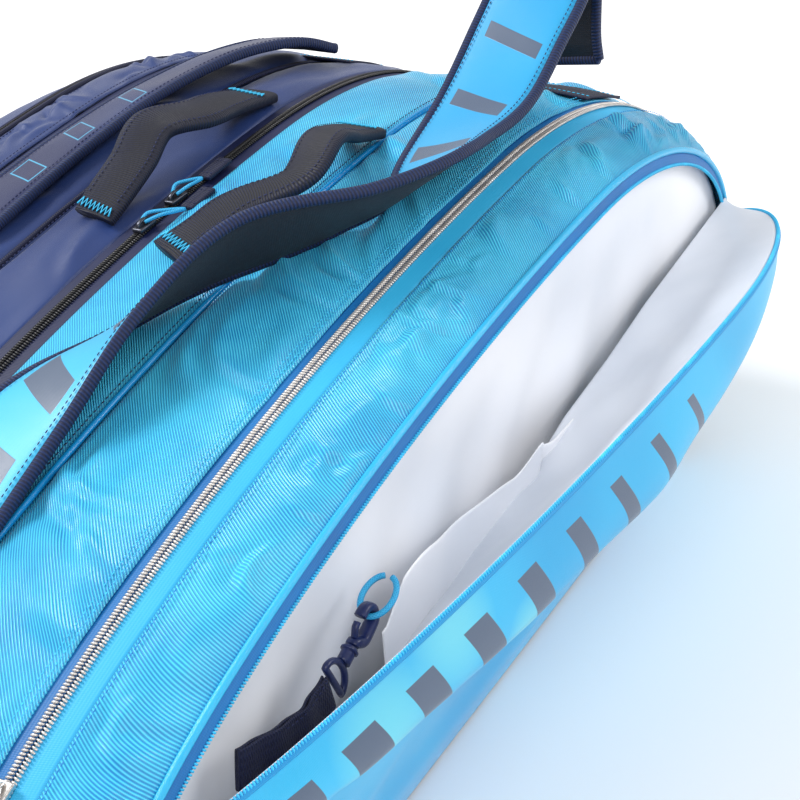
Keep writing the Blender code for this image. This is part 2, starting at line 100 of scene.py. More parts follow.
# ------------------------------------------------------- shader arithmetic
class Field:
    """A shader value that ordinary operators combine."""

    def __init__(self, shade: "Shade", socket: bpy.types.NodeSocket) -> None:
        """Hold one output socket of a shade's tree."""
        self.shade = shade
        self.socket = socket

    def _math(self, operation: str, *others: "Field | float", clamp: bool = False) -> "Field":
        """Add a Math node after this value."""
        node = self.shade.node("ShaderNodeMath")
        node.operation = operation
        node.use_clamp = clamp
        for place, value in zip(node.inputs, (self, *others)):
            self.shade.feed(place, value)
        return Field(self.shade, node.outputs[0])

    def __add__(self, other: "Field | float") -> "Field":
        """Sum."""
        return self._math("ADD", other)

    def __sub__(self, other: "Field | float") -> "Field":
        """Difference."""
        return self._math("SUBTRACT", other)

    def __mul__(self, other: "Field | float") -> "Field":
        """Product."""
        return self._math("MULTIPLY", other)

    def __truediv__(self, other: "Field | float") -> "Field":
        """Quotient."""
        return self._math("DIVIDE", other)

    def __pow__(self, other: "Field | float") -> "Field":
        """Power."""
        return self._math("POWER", other)

    __radd__ = __add__
    __rmul__ = __mul__

    def sine(self) -> "Field":
        """Sine, in radians."""
        return self._math("SINE")

    def size(self) -> "Field":
        """Absolute value."""
        return self._math("ABSOLUTE")

    def least(self, other: "Field | float") -> "Field":
        """The smaller of two values."""
        return self._math("MINIMUM", other)

    def most(self, other: "Field | float") -> "Field":
        """The larger of two values."""
        return self._math("MAXIMUM", other)

    def clamped(self) -> "Field":
        """This value held between 0 and 1."""
        return self._math("ADD", 0.0, clamp=True)

    def wave(self, pitch: float) -> "Field":
        """A wave from 0 to 1 that repeats every pitch."""
        return (self * (2 * math.pi / pitch)).sine() * 0.5 + 0.5

    def step(self, low: float, high: float) -> "Field":
        """0 below low, 1 above high, smooth between."""
        node = self.shade.node("ShaderNodeMapRange")
        node.interpolation_type = "SMOOTHSTEP"
        self.shade.feed(node.inputs["Value"], self)
        node.inputs["From Min"].default_value = low
        node.inputs["From Max"].default_value = high
        return Field(self.shade, node.outputs[0])


class Shade:
    """One material under construction."""

    def __init__(self, name: str, roughness: float, metallic: float = 0.0) -> None:
        """Start a Principled material."""
        self.material = bpy.data.materials.new(name)
        self.material.use_nodes = True
        self.tree = self.material.node_tree
        self.bsdf = self.tree.nodes["Principled BSDF"]
        self.bsdf.inputs["Roughness"].default_value = roughness
        self.bsdf.inputs["Metallic"].default_value = metallic

    def node(self, kind: str) -> bpy.types.Node:
        """Add a node."""
        return self.tree.nodes.new(kind)

    def feed(self, place: bpy.types.NodeSocket, value: object) -> None:
        """Link a field or socket to an input, or set a constant on it."""
        if isinstance(value, Field):
            self.tree.links.new(value.socket, place)
        elif isinstance(value, bpy.types.NodeSocket):
            self.tree.links.new(value, place)
        elif isinstance(value, Tone):
            place.default_value = value.value
        else:
            place.default_value = value

    def uv(self) -> tuple[Field, Field]:
        """The piece's own cloth coordinates, in metres."""
        source = self.node("ShaderNodeUVMap")
        source.uv_map = "UVMap"
        split = self.node("ShaderNodeSeparateXYZ")
        self.tree.links.new(source.outputs[0], split.inputs[0])
        return Field(self, split.outputs[0]), Field(self, split.outputs[1])

    def place(self) -> bpy.types.NodeSocket:
        """Object coordinates, in metres."""
        return self.node("ShaderNodeTexCoord").outputs["Object"]

    def noise(self, scale: float, detail: float = 2.0, stretch: tuple = (1, 1, 1)) -> Field:
        """Noise from 0 to 1 over object coordinates."""
        mapping = self.node("ShaderNodeMapping")
        mapping.inputs["Scale"].default_value = stretch
        self.tree.links.new(self.place(), mapping.inputs["Vector"])
        node = self.node("ShaderNodeTexNoise")
        node.inputs["Scale"].default_value = scale
        node.inputs["Detail"].default_value = detail
        self.tree.links.new(mapping.outputs[0], node.inputs["Vector"])
        return Field(self, node.outputs[0])

    def blend(self, share: Field | float, first: object, second: object) -> bpy.types.NodeSocket:
        """Mix two colours."""
        node = self.node("ShaderNodeMix")
        node.data_type = "RGBA"
        self.feed(node.inputs[0], share)
        self.feed(node.inputs[6], first)
        self.feed(node.inputs[7], second)
        return node.outputs[2]

    def colour(self, value: object) -> None:
        """Set or link the base colour."""
        self.feed(self.bsdf.inputs["Base Color"], value)

    def rough(self, value: Field) -> None:
        """Link the roughness."""
        self.feed(self.bsdf.inputs["Roughness"], value)

    def relief(self, height: Field, depth: float, strength: float = 1.0) -> None:
        """Raise the surface by a bump; depth is in metres at height 1."""
        bump = self.node("ShaderNodeBump")
        bump.inputs["Distance"].default_value = depth
        bump.inputs["Strength"].default_value = strength
        self.feed(bump.inputs["Height"], height)
        if self.bsdf.inputs["Normal"].is_linked:
            before = self.bsdf.inputs["Normal"].links[0].from_socket
            self.tree.links.new(before, bump.inputs["Normal"])
        self.tree.links.new(bump.outputs[0], self.bsdf.inputs["Normal"])

    def set(self, **values: float) -> None:
        """Set constants on the shader's own sockets, by name with _ for a space."""
        for name, value in values.items():
            self.bsdf.inputs[name.replace("_", " ")].default_value = value

    def inside(self, u: Field, v: Field, corners: Sequence[tuple[float, float]]) -> Field:
        """How far a point lies inside a convex outline, in metres."""
        depth: Optional[Field] = None
        centre = np.mean(np.array(corners), axis=0)
        for (ua, va), (ub, vb) in zip(corners, (*corners[1:], corners[0])):
            nu, nv = -(vb - va), ub - ua
            size = math.hypot(nu, nv) or 1.0
            nu, nv = nu / size, nv / size
            if nu * (centre[0] - ua) + nv * (centre[1] - va) < 0:
                nu, nv = -nu, -nv
            edge = u * nu + v * nv - (nu * ua + nv * va)
            depth = edge if depth is None else depth.least(edge)
        return depth


# ---------------------------------------------------------------- finishes
@dataclass(frozen=True)
class Finish:
    """A finish that makes its material once."""
    name: str

    def make(self) -> bpy.types.Material:
        """Return the material, made on first use."""
        found = bpy.data.materials.get(self.name)
        return found if found else self.build()

    def build(self) -> bpy.types.Material:
        """Build the material."""
        raise NotImplementedError


@dataclass(frozen=True)
class RibbedCloth(Finish):
    """Twill with raised diagonal ribs and a strong sheen, part real and part painted into its colour as
    light and shade.
    """
    light: Tone = Tone.CYAN_LIT
    dark: Tone = Tone.CYAN_DARK
    pitch: float = 0.00135
    angle: float = 38.0
    depth: float = 0.00042

    def build(self) -> bpy.types.Material:
        """Build ribs that run at an angle to the cloth's length."""
        s = Shade(self.name, 0.40)
        u, v = s.uv()
        turn = math.radians(self.angle)
        drift = s.noise(9.0, 2.0) * 0.006
        across = v * math.cos(turn) - u * math.sin(turn) + drift
        rib = across.wave(self.pitch)
        soft = s.noise(14.0, 3.0)
        patch = s.noise(55.0, 2.0)
        # Painted sheen and painted shade: the colour runs from the shaded tone in the rib grooves to the lit
        # tone on the crests, and soft patches of the two tones stand in for light and shade on wrinkles.
        share = (rib * 0.85 + soft * 0.7 + patch * 0.2 - 0.36).clamped()
        s.colour(s.blend(share, self.dark, self.light))
        s.rough((rib * -0.12 + soft * 0.10 + 0.36).clamped())
        s.relief(rib, self.depth, 1.0)
        s.relief(s.noise(60.0, 2.0), 0.0016, 0.35)
        s.set(Sheen_Weight=0.08, Sheen_Roughness=0.35)
        return s.material


@dataclass(frozen=True)
class SmoothCloth(Finish):
    """Closely woven cloth with a coated face."""
    base: Tone = Tone.NAVY
    other: Tone = Tone.NAVY_DEEP
    roughness: float = 0.42
    weave: float = 0.0006
    rumple: float = 0.0010
    sheen: float = 0.2
    lightness: float = 0.55

    def build(self) -> bpy.types.Material:
        """Build a plain weave with soft changes of tone."""
        s = Shade(self.name, self.roughness)
        u, v = s.uv()
        weave = u.wave(self.weave) * v.wave(self.weave)
        soft = s.noise(7.0, 3.0)
        share = (soft * 0.7 + weave * 0.22 + self.lightness - 0.42).clamped()
        s.colour(s.blend(share, self.other, self.base))
        s.rough((soft * 0.14 + self.roughness - 0.07).clamped())
        s.relief(weave, 0.00012, 0.5)
        s.relief(s.noise(38.0, 3.0), self.rumple, 0.4)
        s.set(Sheen_Weight=self.sheen, Sheen_Roughness=0.4)
        return s.material


@dataclass(frozen=True)
class PrintedCloth(Finish):
    """Coated cloth printed with plain bars and painted highlights; u and v are metres along and across."""
    ground: Tone = Tone.SKY
    shade_tone: Tone = Tone.CYAN_TAPE
    ink: Tone = Tone.SLATE
    shards: tuple = ()
    lines: tuple = ()
    painted_highlights: tuple = ()
    roughness: float = 0.34

    def build(self) -> bpy.types.Material:
        """Build the ground with its painted highlights, the solid bars and thin outlined bars."""
        s = Shade(self.name, self.roughness)
        u, v = s.uv()
        bend = s.noise(11.0, 1.0) * 0.004 - 0.002
        u, v = u + bend, v - bend
        soft = s.noise(5.0, 2.0)
        ground = s.blend(soft.step(0.35, 0.72), self.shade_tone, self.ground)
        # Painted highlights: soft pale spots blended into the ground where light falls on the cloth.
        for cu, cv, reach in self.painted_highlights:
            far = ((u - cu) * (u - cu) + (v - cv) * (v - cv)) / (reach * reach)
            near = (far * -1.0 + 1.0).clamped() * 0.35
            ground = s.blend(near, ground, linear(150, 232, 214))
        mask: Optional[Field] = None
        for corners in self.shards:
            part = s.inside(u, v, corners)
            mask = part if mask is None else mask.most(part)
        for corners in self.lines:
            part = (s.inside(u, v, corners).size() * -1.0) + 0.0005
            mask = part if mask is None else mask.most(part)
        weave = u.wave(0.0007) * v.wave(0.0007)
        if mask is not None:
            inked = mask.step(-0.0002, 0.0002)
            ink = s.blend(soft, self.ink, linear(84, 100, 122))
            s.colour(s.blend(inked, ground, ink))
            s.rough((inked * -0.06 + soft * 0.1 + self.roughness).clamped())
            s.relief(inked, 0.0001, 0.6)
        else:
            s.colour(ground)
        s.relief(weave, 0.00010, 0.5)
        s.relief(s.noise(30.0, 2.0), 0.0014, 0.3)
        s.set(Sheen_Weight=0.1)
        return s.material


@dataclass(frozen=True)
class Webbing(Finish):
    """Woven webbing with ribs across its length."""
    base: Tone = Tone.NAVY_WEB
    light: Tone = Tone.NAVY
    pitch: float = 0.0016
    lane: float = 0.0042
    depth: float = 0.0005

    def build(self) -> bpy.types.Material:
        """Build cross ribs broken by lengthwise lanes."""
        s = Shade(self.name, 0.62)
        u, v = s.uv()
        lanes = v.wave(self.lane)
        rib = (u + lanes * (self.pitch * 0.5)).wave(self.pitch)
        fuzz = s.noise(420.0, 2.0)
        height = rib * 0.7 + lanes * 0.25 + fuzz * 0.2
        # Painted shade: the colour follows the weave's height, lighter on the raised ribs and lanes and
        # darker in the grooves between them.
        s.colour(s.blend((height * 0.55 - 0.12).clamped(), self.base, self.light))
        s.rough((fuzz * 0.2 + 0.5).clamped())
        s.relief(height, self.depth, 0.8)
        s.set(Sheen_Weight=0.03, Specular_IOR_Level=0.35)
        return s.material


@dataclass(frozen=True)
class Satin(Finish):
    """Thin satin lining."""
    base: Tone = Tone.WHITE
    shadow: Tone = Tone.GREY

    def build(self) -> bpy.types.Material:
        """Build a pale lining with fine creases."""
        s = Shade(self.name, 0.42)
        soft = s.noise(6.0, 3.0)
        s.colour(s.blend(soft.step(0.25, 0.75), self.shadow, self.base))
        s.rough((soft * 0.16 + 0.34).clamped())
        s.relief(s.noise(16.0, 3.0, (1.0, 1.0, 0.35)), 0.004, 0.35)
        u, v = s.uv()
        s.relief(u.wave(0.0008) * v.wave(0.0008), 0.00008, 0.4)
        s.set(Sheen_Weight=0.15)
        return s.material


@dataclass(frozen=True)
class Tape(Finish):
    """Woven zip tape."""
    base: Tone = Tone.CYAN_TAPE
    dark: Tone = Tone.CYAN_DARK

    def build(self) -> bpy.types.Material:
        """Build fine cross ribs and lengthwise lanes with soft darker patches."""
        s = Shade(self.name, 0.5)
        u, v = s.uv()
        rib = u.wave(0.0011)
        lane = v.wave(0.0016)
        soft = s.noise(20.0, 2.0)
        s.colour(s.blend((soft * 0.5 + rib * 0.12 + lane * 0.08 + 0.28).clamped(), self.dark, self.base))
        s.rough((soft * 0.2 + 0.42).clamped())
        s.relief(rib * 0.6 + lane * 0.4, 0.00012, 0.6)
        return s.material


@dataclass(frozen=True)
class Moulded(Finish):
    """Moulded plastic or plated metal with a fine grain."""
    base: Tone = Tone.NAVY_DEEP
    roughness: float = 0.36
    metallic: float = 0.0
    grain: float = 0.00015

    def build(self) -> bpy.types.Material:
        """Build a slightly worn moulded surface."""
        s = Shade(self.name, self.roughness, self.metallic)
        wear = s.noise(90.0, 3.0)
        fine = s.noise(900.0, 2.0)
        pale = tuple(min(1.0, c * 1.35 + 0.004) for c in self.base.value[:3]) + (1.0,)
        s.colour(s.blend(wear.step(0.45, 0.8), self.base, pale))
        s.rough((wear * 0.22 + self.roughness - 0.1).clamped())
        s.relief(fine, self.grain, 0.5)
        return s.material


@dataclass(frozen=True)
class Braid(Finish):
    """Braided cord: crossing strands over its own length."""
    base: Tone = Tone.SKY
    dark: Tone = Tone.CYAN_DARK
    pitch: float = 0.0016

    def build(self) -> bpy.types.Material:
        """Build two crossing families of strands."""
        s = Shade(self.name, 0.5)
        u, v = s.uv()
        one = (u + v).wave(self.pitch)
        two = (u - v).wave(self.pitch)
        cross = one.most(two)
        # Painted shade: the colour follows the strands' height, darker in the gaps between the crossing
        # strands.
        s.colour(s.blend((cross * 0.8 + s.noise(200.0) * 0.2).clamped(), self.dark, self.base))
        s.rough((s.noise(300.0) * 0.2 + 0.4).clamped())
        s.relief(cross, 0.0003, 0.8)
        return s.material


CYAN_RIB = RibbedCloth("cyan_ribbed_cloth")
CYAN_RIB_SIDE = RibbedCloth("cyan_ribbed_side", angle=43.0)
NAVY_CLOTH = SmoothCloth("navy_coated_cloth")
NAVY_BAND = Webbing("navy_ribbed_webbing", Tone.NAVY_WEB, Tone.NAVY_DEEP)
NAVY_BIND = Webbing("navy_binding", Tone.NAVY_WEB, Tone.NAVY, 0.0021, 0.03, 0.0008)
HANDLE_WEB = Webbing("handle_webbing", Tone.BLACK, Tone.NAVY_DEEP, 0.0015, 0.03, 0.0006)
DARK_PAD = Webbing("charcoal_underside", Tone.INK, Tone.CHARCOAL, 0.0014, 0.0014, 0.0002)
WHITE_SATIN = Satin("white_satin_lining")
GREY_SATIN = Satin("grey_flap_lining", Tone.GREY, Tone.MIST)
BLUE_TAPE = Tape("blue_zip_tape")
DARK_TAPE = Tape("navy_zip_tape", Tone.NAVY_DEEP, Tone.NAVY_WEB)
SILVER_COIL = Moulded("silver_zip_coil", Tone.SILVER, 0.32, 0.55)
BLACK_COIL = Moulded("black_zip_coil", Tone.BLACK, 0.38)
BLUE_COIL = Moulded("blue_zip_coil", Tone.SKY, 0.36)
PIPING = SmoothCloth("cyan_piping", Tone.SKY, Tone.CYAN_TAPE, 0.16, 0.0007, 0.0002, 0.0, 0.7)
SEAM_PIPING = SmoothCloth("blue_seam_piping", Tone.CYAN_TAPE, Tone.CYAN_DARK, 0.14, 0.0007, 0.0002, 0.0,
                          0.45)
# A darker tape: on the right pocket's rim it is painted shade for the shadow under the rim's piping; it is
# also the right zip's inner tape.
INNER_TAPE = Tape("shadow_blue_zip_tape", Tone.CYAN_DARK, Tone.NAVY)
OUTER_TAPE = Tape("light_blue_zip_tape", Tone.SKY, Tone.CYAN_TAPE)
NAVY_PLASTIC = Moulded("navy_moulded_plastic", Tone.NAVY_DEEP, 0.34)
BLACK_PLASTIC = Moulded("black_moulded_plastic", Tone.BLACK, 0.42)
DARK_METAL = Moulded("gunmetal_plating", Tone.GUNMETAL, 0.34, 0.9)
BRIGHT_METAL = Moulded("satin_plating", Tone.SILVER, 0.3, 0.9)
CYAN_CORD = Braid("cyan_braided_cord")
CYAN_THREAD = Moulded("cyan_thread", Tone.SKY, 0.55)
DARK_THREAD = Moulded("blue_thread", Tone.CYAN_DARK, 0.6)
NAVY_THREAD = Moulded("navy_thread", Tone.NAVY_DEEP, 0.6)
BOARD_CLOTH = SmoothCloth("charcoal_lining_cloth", Tone.CHARCOAL, Tone.INK, 0.7, 0.0009, 0.0004, 0.3)


# ------------------------------------------------------------- mesh making
def new_piece(name: str, verts: Array, faces: Sequence[Sequence[int]], uvs: Optional[Array],
              look: Finish) -> bpy.types.Object:
    """Make a mesh object at the origin.

    Args:
        name: the piece's name.
        verts: n by 3 points in metres.
        faces: corner indices of each face.
        uvs: n by 2 cloth coordinates of the points, in metres, or None.
        look: its finish.

    Returns:
        The linked object, shaded smooth.
    """
    mesh = bpy.data.meshes.new(name)
    mesh.from_pydata([tuple(p) for p in verts], [], [tuple(f) for f in faces])
    if uvs is not None:
        layer = mesh.uv_layers.new(name="UVMap")
        index = np.zeros(len(mesh.loops), np.int32)
        mesh.loops.foreach_get("vertex_index", index)
        layer.data.foreach_set("uv", np.asarray(uvs, np.float32)[index].ravel())
    mesh.materials.append(look.make())
    mesh.shade_smooth()
    piece = bpy.data.objects.new(name, mesh)
    bpy.context.scene.collection.objects.link(piece)
    return piece


def settle(piece: bpy.types.Object) -> bpy.types.Object:
    """Turn a piece's modifiers into plain mesh and remove them."""
    graph = bpy.context.evaluated_depsgraph_get()
    mesh = bpy.data.meshes.new_from_object(piece.evaluated_get(graph))
    piece.modifiers.clear()
    piece.data = mesh
    return piece


def grid_faces(rows: int, columns: int, wrap: bool = False) -> list[tuple[int, int, int, int]]:
    """Quads of a grid whose points run row by row; wrap joins last column to first."""
    out = []
    span = columns if wrap else columns - 1
    for i in range(rows - 1):
        for j in range(span):
            k = (j + 1) % columns
            out.append((i * columns + j, (i + 1) * columns + j, (i + 1) * columns + k, i * columns + k))
    return out


def normals_of(grid: Array) -> Array:
    """Unit normals of a grid of points: first axis crossed with second."""
    along = np.gradient(grid, axis=0)
    across = np.gradient(grid, axis=1)
    n = np.cross(along, across)
    return n / np.maximum(np.linalg.norm(n, axis=2, keepdims=True), 1e-9)


def cloth_sheet(name: str, grid: Array, uv: Array, look: Finish, thick: float = 0.0014,
                flip: bool = False) -> bpy.types.Object:
    """Make a closed thin cloth piece from a grid of points on its outer face.

    Args:
        name: the piece's name.
        grid: rows by columns by 3 points.
        uv: rows by columns by 2 cloth coordinates.
        look: its finish.
        thick: thickness, added behind the outer face.
        flip: True where first axis crossed with second points inwards.

    Returns:
        The piece.
    """
    rows, columns = grid.shape[:2]
    n = normals_of(grid) * (-1 if flip else 1)
    back = grid - n * thick
    verts = np.concatenate([grid.reshape(-1, 3), back.reshape(-1, 3)])
    uvs = np.concatenate([uv.reshape(-1, 2)] * 2)
    top = grid_faces(rows, columns)
    size = rows * columns
    if flip:
        top = [f[::-1] for f in top]
    faces = top + [tuple(size + k for k in f[::-1]) for f in top]
    ring = ([(i, 0) for i in range(rows)] + [(rows - 1, j) for j in range(1, columns)]
            + [(i, columns - 1) for i in range(rows - 2, -1, -1)]
            + [(0, j) for j in range(columns - 2, 0, -1)])
    index = [i * columns + j for i, j in ring]
    for a, b in zip(index, index[1:] + index[:1]):
        quad = (b, a, a + size, b + size)
        faces.append(quad[::-1] if flip else quad)
    return new_piece(name, verts, faces, uvs, look)


@dataclass
class Track:
    """A path with a frame at each point: ahead, side and up."""
    points: Array
    side: Array
    up: Array

    @property
    def length(self) -> Array:
        """Running length at each point."""
        steps = np.linalg.norm(np.diff(self.points, axis=0), axis=1)
        return np.concatenate([[0.0], np.cumsum(steps)])

    @property
    def ahead(self) -> Array:
        """Unit direction of travel at each point."""
        d = np.gradient(self.points, axis=0)
        return d / np.maximum(np.linalg.norm(d, axis=1, keepdims=True), 1e-9)

    def every(self, spacing: float, start: float = 0.0, stop: float = 0.0) -> "Track":
        """The same path sampled at an even spacing, with margins at its ends."""
        run = self.length
        count = max(2, int((run[-1] - start - stop) / spacing))
        at = start + (np.arange(count) + 0.5) * (run[-1] - start - stop) / count
        pick = [np.stack([np.interp(at, run, a[:, k]) for k in range(3)], 1)
                for a in (self.points, self.side, self.up)]
        return Track(*pick)

    def spread(self, count: int) -> "Track":
        """The same path as a set number of evenly spaced points."""
        at = np.linspace(0.0, self.length[-1], count)
        return Track(*(np.stack([np.interp(at, self.length, a[:, k]) for k in range(3)], 1)
                       for a in (self.points, self.side, self.up)))

    def shifted(self, aside: float = 0.0, above: float = 0.0) -> "Track":
        """The path moved along its side and up directions."""
        return Track(self.points + self.side * aside + self.up * above, self.side, self.up)

    def tube(self, name: str, look: Finish, wide: float, high: float, around: int = 12,
             power: float = 1.0, caps: bool = True) -> bpy.types.Object:
        """A closed rounded bar of half width wide and half height high along the path."""
        angle = 2 * math.pi * np.arange(around) / around
        c, s = np.cos(angle), np.sin(angle)
        c = np.sign(c) * np.abs(c) ** power
        s = np.sign(s) * np.abs(s) ** power
        ring = (self.side[:, None] * (c * wide)[None, :, None]
                + self.up[:, None] * (s * high)[None, :, None])
        verts = (self.points[:, None] + ring).reshape(-1, 3)
        run = self.length
        girth = np.cumsum(np.hypot(np.diff(c, prepend=c[-1]) * wide, np.diff(s, prepend=s[-1]) * high))
        uv = np.stack(np.broadcast_arrays(run[:, None], girth[None, :]), 2).reshape(-1, 2)
        count = len(self.points)
        faces = [f[::-1] for f in grid_faces(count, around, wrap=True)]
        if caps:
            for base, order in ((0, 1), ((count - 1) * around, -1)):
                faces.append(tuple(base + k for k in range(around))[::order])
        piece = new_piece(name, verts, faces, uv, look)
        outward(piece)
        return piece


def outward(piece: bpy.types.Object) -> None:
    """Make a closed piece's faces point outwards."""
    bm = bmesh.new()
    bm.from_mesh(piece.data)
    bmesh.ops.recalc_face_normals(bm, faces=bm.faces)
    bm.to_mesh(piece.data)
    bm.free()


def track_of(points: Sequence, up_hint: Optional[Array] = None, closed: bool = False) -> Track:
    """A track through points, its up directions as near as can be to a hint."""
    p = np.asarray([tuple(q) for q in points], float)
    d = np.gradient(p, axis=0)
    if closed:
        d[0] = d[-1] = p[1] - p[-2]
    d /= np.maximum(np.linalg.norm(d, axis=1, keepdims=True), 1e-9)
    hint = np.broadcast_to(np.array([0.0, 0.0, 1.0]) if up_hint is None else up_hint, p.shape)
    side = np.cross(hint, d)
    side /= np.maximum(np.linalg.norm(side, axis=1, keepdims=True), 1e-9)
    return Track(p, side, np.cross(d, side))


def curve_through(points: Sequence, count: int) -> Array:
    """Catmull-Rom points through a route, evenly spread over its spans."""
    pts = np.asarray(points, float)
    pts = np.vstack([2 * pts[0] - pts[1], pts, 2 * pts[-1] - pts[-2]])
    spans = len(pts) - 3
    out = []
    for i in range(count):
        at = i / (count - 1) * spans
        k = min(int(at), spans - 1)
        t = at - k
        a, b, c, d = pts[k:k + 4]
        out.append(0.5 * (2 * b + (c - a) * t + (2 * a - 5 * b + 4 * c - d) * t * t
                          + (3 * b - a - 3 * c + d) * t ** 3))
    return np.array(out)


class BeadTree:
    """A geometry tree that sets one small rounded bead on each point of a carrier."""

    @staticmethod
    def build(name: str, look: Finish) -> bpy.types.NodeTree:
        """Build the tree with its named inputs Length, Width and Height."""
        tree = bpy.data.node_groups.new(name, "GeometryNodeTree")
        face = tree.interface
        face.new_socket("Geometry", in_out="INPUT", socket_type="NodeSocketGeometry")
        for label in ("Length", "Width", "Height"):
            face.new_socket(label, in_out="INPUT", socket_type="NodeSocketFloat")
        face.new_socket("Geometry", in_out="OUTPUT", socket_type="NodeSocketGeometry")
        add, link = tree.nodes.new, tree.links.new
        start, end = add("NodeGroupInput"), add("NodeGroupOutput")
        ball = add("GeometryNodeMeshUVSphere")
        ball.inputs["Segments"].default_value = 6
        ball.inputs["Rings"].default_value = 4
        ball.inputs["Radius"].default_value = 0.5
        sizes = add("ShaderNodeCombineXYZ")
        for axis, label in enumerate(("Length", "Width", "Height")):
            link(start.outputs[label], sizes.inputs[axis])
        turn = add("GeometryNodeInputNamedAttribute")
        turn.data_type = "FLOAT_VECTOR"
        turn.inputs["Name"].default_value = "turn"
        spread = add("GeometryNodeInstanceOnPoints")
        link(start.outputs["Geometry"], spread.inputs["Points"])
        link(ball.outputs["Mesh"], spread.inputs["Instance"])
        link(turn.outputs[0], spread.inputs["Rotation"])
        link(sizes.outputs[0], spread.inputs["Scale"])
        real = add("GeometryNodeRealizeInstances")
        dress = add("GeometryNodeSetMaterial")
        dress.inputs["Material"].default_value = look.make()
        smooth = add("GeometryNodeSetShadeSmooth")
        link(spread.outputs[0], real.inputs[0])
        link(real.outputs[0], smooth.inputs[0])
        link(smooth.outputs[0], dress.inputs["Geometry"])
        link(dress.outputs[0], end.inputs[0])
        return tree


def bead_row(name: str, track: Track, spacing: float, size: tuple[float, float, float],
             look: Finish, skew: float = 0.0, start: float = 0.0, stop: float = 0.0) -> bpy.types.Object:
    """Repeat a small bead along a track.

    Args:
        name: the piece's name.
        track: the path.
        spacing: distance between beads.
        size: length along the path, width across it and height of one bead.
        look: its finish.
        skew: degrees that each bead is turned about the up direction.
        start: bare length left at the start.
        stop: bare length left at the end.

    Returns:
        The row as one plain mesh.
    """
    even = track.every(spacing, start, stop)
    turns = []
    for d, s, u in zip(even.ahead, even.side, even.up):
        basis = Matrix((d, s, u)).transposed()
        turns.extend((basis @ Matrix.Rotation(math.radians(skew), 3, "Z")).to_euler())
    mesh = bpy.data.meshes.new(name)
    mesh.from_pydata([tuple(p) for p in even.points], [], [])
    mesh.attributes.new("turn", "FLOAT_VECTOR", "POINT").data.foreach_set("vector", turns)
    row = bpy.data.objects.new(name, mesh)
    bpy.context.scene.collection.objects.link(row)
    mod = row.modifiers.new("beads", "NODES")
    mod.node_group = BeadTree.build(name + "_tree", look)
    for item in mod.node_group.interface.items_tree:
        if item.in_out == "INPUT" and item.name in ("Length", "Width", "Height"):
            mod[item.identifier] = size[("Length", "Width", "Height").index(item.name)]
    return settle(row)


def attach(piece: bpy.types.Object, body: str, slot: str, *nodes: str) -> bpy.types.Object:
    """Let a piece ride on a body and hide the CAD nodes it stands for."""
    if nodes:
        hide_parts(*nodes)
    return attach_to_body(piece, body)


